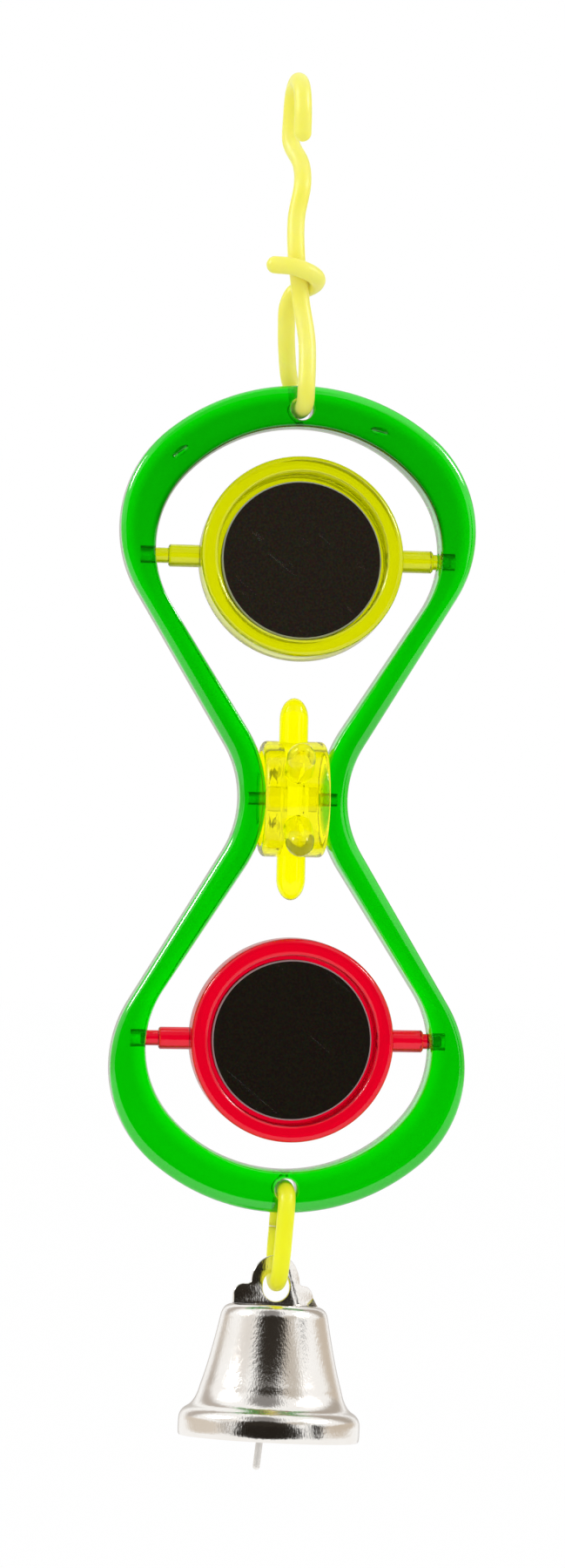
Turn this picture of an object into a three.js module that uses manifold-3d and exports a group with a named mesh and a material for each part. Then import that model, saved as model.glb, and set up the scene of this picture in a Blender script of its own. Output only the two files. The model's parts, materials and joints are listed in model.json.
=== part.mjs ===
// A hanging mirror toy for cage birds. A clear hourglass frame carries two mirrors that flip on side
// pins, a pegged wheel that spins at the waist, and a small bell below. A formed plastic wire goes
// through the frame's top hole and ends in an open hook that hangs on a cage bar.
// Millimetres, +Z up, front towards -Y. The origin is the inside top of the hook, where a bar sits.
import * as THREE from "three";
import { mergeVertices } from "three/addons/utils/BufferGeometryUtils.js";
import Module from "manifold-3d";

const wasm = await Module();
wasm.setup();

// Frame: one moulded loop with an arch above, a waist in the middle and an arch below.
const FRAME_HEIGHT = 118.4;
const FRAME_WIDTH = 51.2;
const FRAME_DEPTH = 5.5;
const FRAME_EDGE = 1.0; // rounding of the bar's edges
const ARCH_BAR = 6.1; // width of the bar across the top and the bottom
const SIDE_BAR = 5.15; // at the widest point of an arch
const WAIST_BAR = 3.95;
const WAIST_GAP = 7.7; // clear width between the bars at the waist
const WAIST_RADIUS = 14.7; // outside of the waist
const HOLE_DIAMETER = 3.4; // wire holes at the top and the bottom
const HOLE_EDGE = 1.6; // bar left between a wire hole and the outside
// An arch's crown and shoulder radii, for each unit of its half width.
const OUTER_CROWN = 1.17;
const OUTER_SHOULDER = 0.7;
const INNER_CROWN = 1.09;
const INNER_SHOULDER = 0.735;

// Mirror holders: a ring with a ledge between two mirror discs, and a stepped pin on each side.
const AXLE_OFFSET = 0.7; // an axle lies this far outside the middle between the pegs and the arch
const RING_FACE = 2.35; // width of the ring's flat face, outside the seat's lip
const RING_DEPTH = 5.6;
const RING_EDGE = 1.1; // rounding of the ring's outside
const MIRROR_DIAMETER = 23;
const MIRROR_THICKNESS = 0.9;
const MIRROR_BEVEL = 0.35; // ground edge of a disc
const MIRROR_FIT = 0.5; // radial play of a disc in its seat
const MIRROR_REST = 0.1; // the upper discs lie this close to the bottom of their seats
const MIRROR_BED = 0.1; // adhesive between a disc and the ledge
const SEAT_FLARE = 0.25; // the seat's wall opens by this much towards the lip
const LEDGE_WIDTH = 1.8;
const LEDGE_THICKNESS = 0.8;
const SHOULDER_DIAMETER = 3.2;
const SHOULDER_GAP = 1.35; // from a shoulder to the frame
const PIN_DIAMETER = 2.2;
const PIN_REACH = 1.3; // length of a pin inside its socket
const SIDE_PLAY = 0.5; // the holders rest this far to one side of their end play
const UPPER_TILT = -8; // degrees that the upper mirror is turned up from upright
const SOCKET_FIT = 0.2; // radial clearance of every pin in its socket
const SOCKET_END = 1.0; // from a pin's tip to the bottom of its socket

// Wheel at the waist: a dished rim with bullet pegs, turning on two pins.
const WHEEL_DIAMETER = 16.6;
const WHEEL_WALL = 1.4;
const WHEEL_WEB = 3.0;
const WHEEL_EDGE = 0.8;
const WHEEL_GAP = 0.36; // from the rim's inner lip to the frame
const HUB_DIAMETER = 3.6;
const HUB_GAP = 0.4;
const WHEEL_PIN_DIAMETER = 1.5;
const WHEEL_PIN_REACH = 1.5;
const PEG_COUNT = 6;
const PEG_DIAMETER = 4.15;
const PEG_SWEEP = 29; // diameter over the tips
const PEG_DOME = 3.1; // length of the rounded tip

// Hanger and bell link, formed from one plastic wire.
const WIRE_DIAMETER = 2.5;
const WIRE_BEND = 2.4; // bend radius where the wire leaves a hole
const WIRE_CLEARANCE = 0.5; // from a strand to the frame's face
const WIRE_LIFT = 0.1; // the wire lies this far off a hole's centre
const WIRE_SLANT = 0.25; // the hanger's strands leave their hole this far to the right and the left
const HANGER_REACH = 45.8; // from the top hole up to the inside of the hook
const HOOK_GAP = 6.8; // clear width inside the hook
const HOOK_LEG = 3.4; // straight end of the hook
const HOOK_SHIFT = -1.35; // the hook stands this far to the side of the frame's middle
const HOOK_TWIST = 0.3; // sideways step of each leg of the hook
const NECK_X = -0.4; // the wire below the hook
const WRAP_HEIGHT = 18.3; // middle of the wrap above the top hole
const WRAP_RISE = 2.65; // climb of the wrap in half a turn
const WRAP_GAP = 0.7; // from the wrap to the stem
const WRAP_TAIL = 3.2; // cut end standing off the wrap
const STEM_X = -0.8; // the stem inside the wrap
const STEM_Y = -1.5;
const STEM_LEAN = 7; // degrees that the stem leans to the left there
const STEM_ABOVE = 3.5; // the stem is straight from this far above the wrap's middle
const STEM_BELOW = 3; // to this far below it
const STEM_BLEND = 9; // above the wrap's middle, where the stem comes into line
const FRONT_SWAY = 0.4; // the front strand stands this far to the right, half way up
const REAR_SIDE = 1.9; // the rear strand reaches the wrap this far to the left
const REAR_INSET = 2.3; // and this far in front of where it left the hole
const REAR_JOIN = 3.3; // below the wrap's middle
const REAR_BEND = 10.5; // height over which it leans across
const LINK_DROP = 13.4; // from the bottom hole's wire to the bell's wire
const LINK_EYE_RADIUS = 4.2; // bend through the bell's eye
const LINK_BUTT = 0.8; // gap between the link's two ends
const LINK_LEAN = 3.8; // degrees off plumb, at rest

// Bell: a drawn shell, a stamped crown plate through its top, and a wire clapper.
const BELL_HEIGHT = 19;
const BELL_MOUTH = 26;
const BELL_SHOULDER = 15.5; // across the top of the body
const BELL_SHOULDER_ROUND = 1.9;
const BELL_WALL = 0.5;
const LIP_HEIGHT = 2.2;
const FLARE_HEIGHT = 7.4; // from the mouth to the foot of the body
const FLARE_WIDTH = 2.9; // the mouth stands this far outside the foot of the body
const BELL_LEAN = 2.5; // degrees off plumb at rest, sideways
const BELL_PITCH = -6; // and with the mouth towards the front
const CROWN_THICKNESS = 0.6;
const CROWN_WIDTH = 12.1;
const CROWN_ARCH = 7.0; // width and height of the crown's arch
const CROWN_FOOT = 2.8;
const CROWN_FOOT_ROUND = 1.5;
const EYE_DIAMETER = 3.9;
const EYE_HEIGHT = 2.9; // above the bell's top
const EYE_REST = 0.4; // from the wire to the top of the eye
const TONGUE_WIDTH = 5.2; // neck of the crown through the bell's top
const TONGUE_FIT = 0.3; // clearance of the neck in its slot
const BARB_REACH = 1.0; // spread ends under the bell's top, beyond the slot
const BARB_HEIGHT = 1.1;
const CROWN_SEAT = 0.15; // from the crown to the shell, above and below
const TONGUE_DROP = 2.9; // clapper hole below the bell's top
const TONGUE_ROUND = 1.9;
const CLAPPER_HOLE = 2.2;
const CLAPPER_DIAMETER = 1.1;
const CLAPPER_LOOP = 1.6; // bend radius of the clapper's eye
const CLAPPER_NECK = 5.1; // from the top of its eye to where it runs straight
const CLAPPER_REST = 0.15; // from the clapper's eye to the bottom of its hole
const CLAPPER_SHOW = 4.6; // length below the bell's mouth
const CLAPPER_LEAN = 4.3;

const FACETS_LARGE = 32;
const FACETS_SMALL = 16;
const FACETS_PEG = 12;
const FACETS_WIRE = 8;

const WIRE_RADIUS = WIRE_DIAMETER / 2;
const DEGREE = Math.PI / 180;
const HOLE_Z = FRAME_HEIGHT / 2 - HOLE_EDGE - HOLE_DIAMETER / 2;
// A holder is as large as its mirror, its seat and its face need.
const RING_DIAMETER = MIRROR_DIAMETER + 2 * (MIRROR_FIT + SEAT_FLARE + RING_FACE);
// Each mirror hangs between the tips of the wheel's pegs and the inside of its arch.
const AXLE_SPACING = FRAME_HEIGHT / 2 - ARCH_BAR + PEG_SWEEP / 2 + 2 * AXLE_OFFSET;

// Finishes, with the colours that the photographed toy shows.
const finish = (colour, roughness, metalness) =>
  new THREE.MeshStandardMaterial({ color: colour, roughness, metalness });
const greenPlastic = finish(0x00c21a, 0.15, 0);
const yellowPlastic = finish(0xe8dc00, 0.15, 0);
const redPlastic = finish(0xf00a2c, 0.15, 0);
const wirePlastic = finish(0xf6ea3c, 0.3, 0);
const mirrorGlass = finish(0xd8dce0, 0.03, 1);
const nickel = finish(0xc9c5bd, 0.2, 1);

// Joining and cutting of closed meshes.
function solid(geometry) {
  const bare = geometry.clone();
  bare.deleteAttribute("normal");
  bare.deleteAttribute("uv");
  const merged = mergeVertices(bare, 1e-4);
  return new wasm.Manifold(
    new wasm.Mesh({
      numProp: 3,
      vertProperties: new Float32Array(merged.attributes.position.array),
      triVerts: new Uint32Array(merged.index.array),
    }),
  );
}

function geometryOf(body) {
  const mesh = body.getMesh();
  const geometry = new THREE.BufferGeometry();
  geometry.setAttribute("position", new THREE.BufferAttribute(mesh.vertProperties, 3));
  geometry.setIndex(new THREE.BufferAttribute(mesh.triVerts, 1));
  geometry.computeVertexNormals();
  return geometry;
}

const joined = (first, ...rest) => rest.reduce((sum, next) => sum.add(solid(next)), solid(first));
const cut = (body, ...tools) => tools.reduce((left, tool) => left.subtract(solid(tool)), body);

function piece(name, geometry, material) {
  const mesh = new THREE.Mesh(geometry, material);
  mesh.name = name;
  return mesh;
}

// A round rod along X, from one end to the other.
function rodAlongX(from, to, diameter, z = 0) {
  const rod = new THREE.CylinderGeometry(diameter / 2, diameter / 2, Math.abs(to - from), FACETS_SMALL);
  rod.rotateZ(Math.PI / 2);
  return rod.translate((from + to) / 2, 0, z);
}

// A wire of round section along a smooth curve through points.
function wireAlong(points, diameter, steps) {
  const curve = new THREE.CatmullRomCurve3(points, false, "centripetal");
  const section = new THREE.Shape();
  section.absarc(0, 0, diameter / 2, 0, 2 * Math.PI);
  const geometry = new THREE.ExtrudeGeometry(section, {
    steps,
    curveSegments: FACETS_WIRE / 2,
    extrudePath: curve,
  });
  return { curve, geometry };
}

// The least gap of a wire to itself, leaving out what lies within three diameters along it.
function leastGap(curve, diameter) {
  const samples = 600;
  const points = curve.getSpacedPoints(samples);
  const skip = Math.ceil((3 * diameter * samples) / curve.getLength());
  let least = Infinity;
  points.forEach((point, i) => {
    for (let j = i + skip; j < points.length; j += 1) {
      least = Math.min(least, point.distanceTo(points[j]));
    }
  });
  return least - diameter;
}

// One outline of the frame's loop: crown, shoulder, straight flank and waist, mirrored both ways.
// The flank is the line that touches the shoulder's arc on one side and the waist's on the other.
function loopOutline(halfHeight, halfWidth, crown, shoulder, waistHalf, waistRadius) {
  const crownRadius = crown * halfWidth;
  const shoulderRadius = shoulder * halfWidth;
  const turn = Math.asin((halfWidth - shoulderRadius) / (crownRadius - shoulderRadius));
  const crownZ = halfHeight - crownRadius;
  const shoulderX = halfWidth - shoulderRadius;
  const shoulderZ = crownZ + (crownRadius - shoulderRadius) * Math.cos(turn);
  const waistX = waistHalf + waistRadius;
  const across = shoulderX - waistX;
  const reach = Math.hypot(across, shoulderZ);
  const flank =
    Math.acos(-(shoulderRadius + waistRadius) / reach) - Math.atan2(shoulderZ, across);

  const path = new THREE.Shape();
  const quarter = Math.PI / 2;
  const half = Math.PI;
  path.absarc(waistX, 0, waistRadius, half, half - flank, true);
  path.absarc(shoulderX, shoulderZ, shoulderRadius, -flank, quarter - turn, false);
  path.absarc(0, crownZ, crownRadius, quarter - turn, quarter + turn, false);
  path.absarc(-shoulderX, shoulderZ, shoulderRadius, quarter + turn, half + flank, false);
  path.absarc(-waistX, 0, waistRadius, flank, -flank, true);
  path.absarc(-shoulderX, -shoulderZ, shoulderRadius, half - flank, 3 * quarter - turn, false);
  path.absarc(0, -crownZ, crownRadius, 3 * quarter - turn, 3 * quarter + turn, false);
  path.absarc(shoulderX, -shoulderZ, shoulderRadius, 3 * quarter + turn, 2 * half + flank, false);
  path.absarc(waistX, 0, waistRadius, half + flank, half, true);

  const shoulderAt = (z) => shoulderX + Math.sqrt(shoulderRadius ** 2 - (z - shoulderZ) ** 2);
  const waistAt = (z) => waistX - Math.sqrt(waistRadius ** 2 - z ** 2);
  return { path, shoulderAt, waistAt };
}

const outside = loopOutline(
  FRAME_HEIGHT / 2,
  FRAME_WIDTH / 2,
  OUTER_CROWN,
  OUTER_SHOULDER,
  WAIST_GAP / 2 + WAIST_BAR,
  WAIST_RADIUS,
);
const inside = loopOutline(
  FRAME_HEIGHT / 2 - ARCH_BAR,
  FRAME_WIDTH / 2 - SIDE_BAR,
  INNER_CROWN,
  INNER_SHOULDER,
  WAIST_GAP / 2,
  WAIST_RADIUS + WAIST_BAR,
);

const axleHeights = { upper: AXLE_SPACING / 2, lower: -AXLE_SPACING / 2 };
const axleInside = inside.shoulderAt(axleHeights.upper);

function makeFrame() {
  const loop = outside.path;
  loop.holes.push(inside.path);
  const bar = new THREE.ExtrudeGeometry(loop, {
    depth: FRAME_DEPTH - 2 * FRAME_EDGE,
    curveSegments: 5,
    bevelThickness: FRAME_EDGE,
    bevelSize: FRAME_EDGE,
    bevelOffset: -FRAME_EDGE,
    bevelSegments: 2,
  });
  bar.translate(0, 0, FRAME_EDGE - FRAME_DEPTH / 2);
  bar.rotateX(Math.PI / 2);

  const cuts = [];
  for (const z of [HOLE_Z, -HOLE_Z]) {
    const hole = new THREE.CylinderGeometry(
      HOLE_DIAMETER / 2,
      HOLE_DIAMETER / 2,
      2 * FRAME_DEPTH,
      FACETS_SMALL,
    );
    cuts.push(hole.translate(0, 0, z));
  }
  const mirrorSocket = axleInside + PIN_REACH + SOCKET_END;
  const wheelSocket = WAIST_GAP / 2 + WHEEL_PIN_REACH + SOCKET_END;
  for (const side of [-1, 1]) {
    for (const z of Object.values(axleHeights)) {
      cuts.push(rodAlongX(0, side * mirrorSocket, PIN_DIAMETER + 2 * SOCKET_FIT, z));
    }
    cuts.push(rodAlongX(0, side * wheelSocket, WHEEL_PIN_DIAMETER + 2 * SOCKET_FIT));
  }
  return piece("frame", geometryOf(cut(solid(bar), ...cuts)), greenPlastic);
}

// A mirror holder is turned about Y, so its profile holds radius and depth.
function makeMirror(name, plastic, drop) {
  const seatRadius = MIRROR_DIAMETER / 2 + MIRROR_FIT;
  const lipRadius = seatRadius + SEAT_FLARE;
  const outerRadius = RING_DIAMETER / 2;
  const halfDepth = RING_DEPTH / 2;
  const halfLedge = LEDGE_THICKNESS / 2;
  const profile = new THREE.Path();
  profile.moveTo(seatRadius - LEDGE_WIDTH, -halfLedge);
  profile.lineTo(seatRadius, -halfLedge);
  profile.lineTo(lipRadius, -halfDepth);
  profile.lineTo(outerRadius - RING_EDGE, -halfDepth);
  profile.absarc(outerRadius - RING_EDGE, RING_EDGE - halfDepth, RING_EDGE, -Math.PI / 2, 0, false);
  profile.absarc(outerRadius - RING_EDGE, halfDepth - RING_EDGE, RING_EDGE, 0, Math.PI / 2, false);
  profile.lineTo(lipRadius, halfDepth);
  profile.lineTo(seatRadius, halfLedge);
  profile.lineTo(seatRadius - LEDGE_WIDTH, halfLedge);
  profile.closePath();
  const ring = new THREE.LatheGeometry(profile.getPoints(2), FACETS_LARGE);

  const shoulder = axleInside - SHOULDER_GAP;
  const tip = axleInside + PIN_REACH;
  const root = (lipRadius + outerRadius) / 2;
  const pins = [-1, 1].flatMap((side) => [
    rodAlongX(side * root, side * shoulder, SHOULDER_DIAMETER),
    rodAlongX(side * root, side * tip, PIN_DIAMETER),
  ]);
  const holder = new THREE.Group();
  holder.add(piece(`${name}_mirror_ring`, geometryOf(joined(ring, ...pins)), plastic));

  const radius = MIRROR_DIAMETER / 2;
  const disc = new THREE.LatheGeometry(
    [
      new THREE.Vector2(0, 0),
      new THREE.Vector2(radius, 0),
      new THREE.Vector2(radius, MIRROR_THICKNESS - MIRROR_BEVEL),
      new THREE.Vector2(radius - MIRROR_BEVEL, MIRROR_THICKNESS),
      new THREE.Vector2(0, MIRROR_THICKNESS),
    ],
    FACETS_LARGE,
  );
  const bed = halfLedge + MIRROR_BED;
  const front = piece(`${name}_mirror_front`, disc, mirrorGlass);
  front.rotation.x = Math.PI;
  front.position.set(0, -bed, -drop);
  const back = piece(`${name}_mirror_back`, disc, mirrorGlass);
  back.position.set(0, bed, -drop);
  holder.add(front, back);
  holder.position.x = SIDE_PLAY;
  return holder;
}

// The wheel is turned about Y and then laid along X. Its faces are dished between rim and hub.
function makeWheel() {
  const radius = WHEEL_DIAMETER / 2;
  const rimInside = radius - WHEEL_WALL;
  const rimHalf = inside.waistAt(Math.sqrt(rimInside ** 2 - (FRAME_DEPTH / 2) ** 2)) - WHEEL_GAP;
  const webHalf = WHEEL_WEB / 2;
  const hub = HUB_DIAMETER / 2;
  const hubHalf = WAIST_GAP / 2 - HUB_GAP;
  const pin = WHEEL_PIN_DIAMETER / 2;
  const tip = WAIST_GAP / 2 + WHEEL_PIN_REACH;
  const profile = new THREE.Path();
  profile.moveTo(0, -tip);
  profile.lineTo(pin, -tip);
  profile.lineTo(pin, -hubHalf);
  profile.lineTo(hub, -hubHalf);
  profile.lineTo(hub, -webHalf);
  profile.lineTo(rimInside, -webHalf);
  profile.lineTo(rimInside, -rimHalf);
  profile.absarc(radius - WHEEL_EDGE, WHEEL_EDGE - rimHalf, WHEEL_EDGE, -Math.PI / 2, 0, false);
  profile.absarc(radius - WHEEL_EDGE, rimHalf - WHEEL_EDGE, WHEEL_EDGE, 0, Math.PI / 2, false);
  profile.lineTo(rimInside, rimHalf);
  profile.lineTo(rimInside, webHalf);
  profile.lineTo(hub, webHalf);
  profile.lineTo(hub, hubHalf);
  profile.lineTo(pin, hubHalf);
  profile.lineTo(pin, tip);
  profile.lineTo(0, tip);
  const wheel = new THREE.LatheGeometry(profile.getPoints(2), FACETS_LARGE);
  wheel.rotateZ(-Math.PI / 2);

  const pegs = [];
  const pegRadius = PEG_DIAMETER / 2;
  const domeStart = PEG_SWEEP / 2 - PEG_DOME;
  const pegProfile = new THREE.Path();
  pegProfile.moveTo(0, radius - WHEEL_WALL / 2);
  pegProfile.lineTo(pegRadius, radius - WHEEL_WALL / 2);
  pegProfile.absellipse(0, domeStart, pegRadius, PEG_DOME, 0, Math.PI / 2, false);
  for (let i = 0; i < PEG_COUNT; i += 1) {
    const peg = new THREE.LatheGeometry(pegProfile.getPoints(3), FACETS_PEG);
    peg.rotateX(Math.PI / 2 + (i * 2 * Math.PI) / PEG_COUNT);
    pegs.push(peg);
  }
  return piece("spinner_wheel", geometryOf(joined(wheel, ...pegs)), yellowPlastic);
}

const STRAND_Y = FRAME_DEPTH / 2 + WIRE_RADIUS + WIRE_CLEARANCE;

// Points of a wire through a hole along Y, from the front strand to the rear one. The strands go
// upwards from the hole for up = 1 and downwards for up = -1, and lie aside of it by the slant.
function throughHole(up, aside) {
  const straight = STRAND_Y - WIRE_BEND;
  const slant = WIRE_BEND * Math.SQRT1_2;
  const front = [
    new THREE.Vector3(aside, -STRAND_Y, up * WIRE_BEND),
    new THREE.Vector3(aside, -straight - slant, up * (WIRE_BEND - slant)),
    new THREE.Vector3((aside * straight) / STRAND_Y, -straight, 0),
  ];
  const rear = front.map((point) => new THREE.Vector3(-point.x, -point.y, point.z)).reverse();
  return [...front, ...rear];
}

// The hanger, from the hook's free end over the top, down the stem, through the frame's hole, and up
// to its tail, which wraps once round the stem. Heights are above the wire in the hole.
function makeHanger() {
  const hookRadius = HOOK_GAP / 2 + WIRE_RADIUS;
  const hookZ = HANGER_REACH - HOOK_GAP / 2 - WIRE_LIFT;
  const stemX = (rise) => STEM_X - rise * Math.tan(STEM_LEAN * DEGREE);
  const points = [new THREE.Vector3(HOOK_SHIFT + HOOK_TWIST, -hookRadius, hookZ - HOOK_LEG)];
  const hookSteps = 4;
  for (let i = 0; i <= hookSteps; i += 1) {
    const turn = (i * Math.PI) / hookSteps;
    points.push(
      new THREE.Vector3(
        HOOK_SHIFT + HOOK_TWIST * Math.cos(turn),
        -hookRadius * Math.cos(turn),
        hookZ + hookRadius * Math.sin(turn),
      ),
    );
  }
  points.push(
    new THREE.Vector3(HOOK_SHIFT - HOOK_TWIST, hookRadius, hookZ - HOOK_LEG),
    new THREE.Vector3(NECK_X, hookRadius / 2, hookZ - 2 * HOOK_LEG),
    new THREE.Vector3(NECK_X, 0, hookZ - 3 * HOOK_LEG),
    new THREE.Vector3(stemX(STEM_ABOVE), STEM_Y / 3, WRAP_HEIGHT + STEM_BLEND),
    new THREE.Vector3(stemX(STEM_ABOVE), STEM_Y, WRAP_HEIGHT + STEM_ABOVE),
    new THREE.Vector3(stemX(0), STEM_Y, WRAP_HEIGHT),
    new THREE.Vector3(stemX(-STEM_BELOW), STEM_Y, WRAP_HEIGHT - STEM_BELOW),
    new THREE.Vector3(FRONT_SWAY, STEM_Y / 2 - STRAND_Y / 2, WRAP_HEIGHT / 2),
    ...throughHole(1, WIRE_SLANT),
  );
  // The rear strand leans across to the wrap, in shares of its way to the side, forwards and up.
  const rearWay = [
    [0.6, 0, 0],
    [0.87, 0.09, 0.38],
    [1, 0.48, 0.71],
    [1, 1, 1],
  ];
  for (const [side, inset, rise] of rearWay) {
    const z = WRAP_HEIGHT - REAR_JOIN - (1 - rise) * REAR_BEND;
    points.push(new THREE.Vector3(-side * REAR_SIDE, STRAND_Y - inset * REAR_INSET, z));
  }
  const wrapRadius = WIRE_DIAMETER + WRAP_GAP;
  const wrapStart = 100;
  const wrapEnd = -110;
  const wrapStep = 35;
  const onWrap = (degrees) => {
    const rise = (-degrees * WRAP_RISE) / 180;
    return new THREE.Vector3(
      stemX(rise) + wrapRadius * Math.cos(degrees * DEGREE),
      STEM_Y + wrapRadius * Math.sin(degrees * DEGREE),
      WRAP_HEIGHT + rise,
    );
  };
  for (let degrees = wrapStart; degrees >= wrapEnd; degrees -= wrapStep) {
    points.push(onWrap(degrees));
  }
  const tail = new THREE.Vector3(Math.sin(wrapEnd * DEGREE), -Math.cos(wrapEnd * DEGREE), 0.1);
  points.push(onWrap(wrapEnd).addScaledVector(tail, WRAP_TAIL));

  const { curve, geometry } = wireAlong(points, WIRE_DIAMETER, 110);
  console.log(`hanger: least gap to itself ${leastGap(curve, WIRE_DIAMETER).toFixed(2)} mm`);
  const tip = new THREE.SphereGeometry(WIRE_RADIUS, FACETS_WIRE, FACETS_WIRE / 2);
  tip.translate(points[0].x, points[0].y, points[0].z);
  return piece("hanger", geometryOf(joined(geometry, tip)), wirePlastic);
}

// The link, a loop whose two ends meet behind. Heights are from the wire in the bottom hole.
function makeLink() {
  const eyeZ = LINK_EYE_RADIUS - LINK_DROP;
  const slant = LINK_EYE_RADIUS * Math.SQRT1_2;
  const seamZ = (eyeZ - WIRE_BEND) / 2;
  const seamY = (STRAND_Y + LINK_EYE_RADIUS) / 2;
  const points = [
    new THREE.Vector3(0, seamY, seamZ - LINK_BUTT / 2),
    new THREE.Vector3(0, LINK_EYE_RADIUS, eyeZ),
    new THREE.Vector3(0, slant, eyeZ - slant),
    new THREE.Vector3(0, 0, -LINK_DROP),
    new THREE.Vector3(0, -slant, eyeZ - slant),
    new THREE.Vector3(0, -LINK_EYE_RADIUS, eyeZ),
    new THREE.Vector3(0, -seamY, seamZ),
    ...throughHole(-1, 0),
    new THREE.Vector3(0, seamY, seamZ + LINK_BUTT / 2),
  ];
  const { curve, geometry } = wireAlong(points, WIRE_DIAMETER, 56);
  const ends = curve.getPoint(0).distanceTo(curve.getPoint(1));
  console.log(`bell link: ${ends.toFixed(2)} mm between its two ends`);
  return piece("bell_link", geometry, wirePlastic);
}

// The bell hangs from the wire in its crown's eye. Heights are from that wire's middle.
const EYE_Z = WIRE_RADIUS + EYE_REST - EYE_DIAMETER / 2;
const BELL_TOP = EYE_Z - EYE_HEIGHT;
const CLAPPER_PIVOT =
  BELL_TOP - TONGUE_DROP - CLAPPER_HOLE / 2 + CLAPPER_DIAMETER / 2 + CLAPPER_REST;

// The shell's outside from the mouth to the top, and its inside a wall's thickness within.
function makeBellShell() {
  const mouth = BELL_MOUTH / 2;
  const shoulder = BELL_SHOULDER / 2;
  const foot = mouth - FLARE_WIDTH;
  const flareRise = FLARE_HEIGHT - LIP_HEIGHT;
  const knee = 0.38; // share of the flare that is round, before it turns hollow
  const kneeRadius = mouth - knee * FLARE_WIDTH;
  const kneeZ = LIP_HEIGHT + knee * flareRise;
  const bodyTop = BELL_HEIGHT - BELL_SHOULDER_ROUND;
  // Each curve's control point, as shares of the curve's own width and height.
  const flareCorner = { across: 0.2, up: 0.12 };
  const bodyCorner = { across: 0.36, up: 0.33 };
  const roundCorner = 0.15;
  const outer = new THREE.Path();
  outer.moveTo(mouth, 0);
  outer.lineTo(mouth, LIP_HEIGHT);
  outer.quadraticCurveTo(mouth, kneeZ - flareCorner.up * flareRise, kneeRadius, kneeZ);
  outer.quadraticCurveTo(
    foot + flareCorner.across * FLARE_WIDTH,
    kneeZ + flareCorner.up * flareRise,
    foot,
    FLARE_HEIGHT,
  );
  outer.quadraticCurveTo(
    foot + bodyCorner.across * (shoulder - foot),
    FLARE_HEIGHT + bodyCorner.up * (bodyTop - FLARE_HEIGHT),
    shoulder,
    bodyTop,
  );
  outer.quadraticCurveTo(
    shoulder - roundCorner * BELL_SHOULDER_ROUND,
    BELL_HEIGHT,
    shoulder - BELL_SHOULDER_ROUND,
    BELL_HEIGHT,
  );
  const wall = outer.getPoints(4);
  const within = wall.map((point, i) => {
    const before = wall[Math.max(i - 1, 0)];
    const after = wall[Math.min(i + 1, wall.length - 1)];
    const along = new THREE.Vector2().subVectors(after, before).normalize();
    return new THREE.Vector2(point.x - along.y * BELL_WALL, point.y + along.x * BELL_WALL);
  });
  const profile = [
    ...wall,
    new THREE.Vector2(0, BELL_HEIGHT),
    new THREE.Vector2(0, BELL_HEIGHT - BELL_WALL),
    ...within.reverse(),
    wall[0].clone(),
  ];
  const shell = new THREE.LatheGeometry(profile, FACETS_LARGE);
  shell.rotateX(Math.PI / 2);
  shell.translate(0, 0, BELL_TOP - BELL_HEIGHT);
  const slot = new THREE.BoxGeometry(
    TONGUE_WIDTH + 2 * TONGUE_FIT,
    CROWN_THICKNESS + 2 * TONGUE_FIT,
    4 * BELL_WALL,
  );
  slot.translate(0, 0, BELL_TOP);
  return piece("bell_shell", geometryOf(cut(solid(shell), slot)), nickel);
}

// The crown is stamped from sheet: an arch with the eye, two rounded feet on the shell, and a neck
// through the shell whose ends are spread under it and whose tongue holds the clapper.
function makeCrown() {
  const halfArch = CROWN_ARCH / 2;
  const halfWidth = CROWN_WIDTH / 2;
  const neck = TONGUE_WIDTH / 2;
  const barb = neck + TONGUE_FIT + BARB_REACH;
  const barbTop = -BELL_WALL - CROWN_SEAT;
  const tongueZ = -TONGUE_DROP;
  const round = CROWN_FOOT_ROUND;
  const plate = new THREE.Shape();
  plate.moveTo(neck, CROWN_SEAT);
  plate.lineTo(halfWidth, CROWN_SEAT);
  plate.absarc(halfWidth - round, CROWN_FOOT - round, round, 0, Math.PI / 2, false);
  plate.lineTo(halfArch, CROWN_FOOT);
  plate.absarc(0, CROWN_ARCH - halfArch, halfArch, 0, Math.PI, false);
  plate.lineTo(-halfArch, CROWN_FOOT);
  plate.absarc(round - halfWidth, CROWN_FOOT - round, round, Math.PI / 2, Math.PI, false);
  plate.lineTo(-halfWidth, CROWN_SEAT);
  plate.lineTo(-neck, CROWN_SEAT);
  plate.lineTo(-neck, barbTop);
  plate.lineTo(-barb, barbTop);
  plate.lineTo(-barb, barbTop - BARB_HEIGHT / 2);
  plate.lineTo(-neck, barbTop - BARB_HEIGHT);
  plate.absarc(0, tongueZ, TONGUE_ROUND, Math.PI, 2 * Math.PI, false);
  plate.lineTo(neck, barbTop - BARB_HEIGHT);
  plate.lineTo(barb, barbTop - BARB_HEIGHT / 2);
  plate.lineTo(barb, barbTop);
  plate.lineTo(neck, barbTop);
  plate.closePath();
  const eye = new THREE.Path();
  eye.absarc(0, EYE_HEIGHT, EYE_DIAMETER / 2, 0, 2 * Math.PI, true);
  const clapperHole = new THREE.Path();
  clapperHole.absarc(0, tongueZ, CLAPPER_HOLE / 2, 0, 2 * Math.PI, true);
  plate.holes.push(eye, clapperHole);
  const crown = new THREE.ExtrudeGeometry(plate, {
    depth: CROWN_THICKNESS,
    bevelEnabled: false,
    curveSegments: 8,
  });
  crown.translate(0, 0, -CROWN_THICKNESS / 2);
  crown.rotateX(Math.PI / 2);
  crown.translate(0, 0, BELL_TOP);
  return piece("bell_crown", crown, nickel);
}

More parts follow.
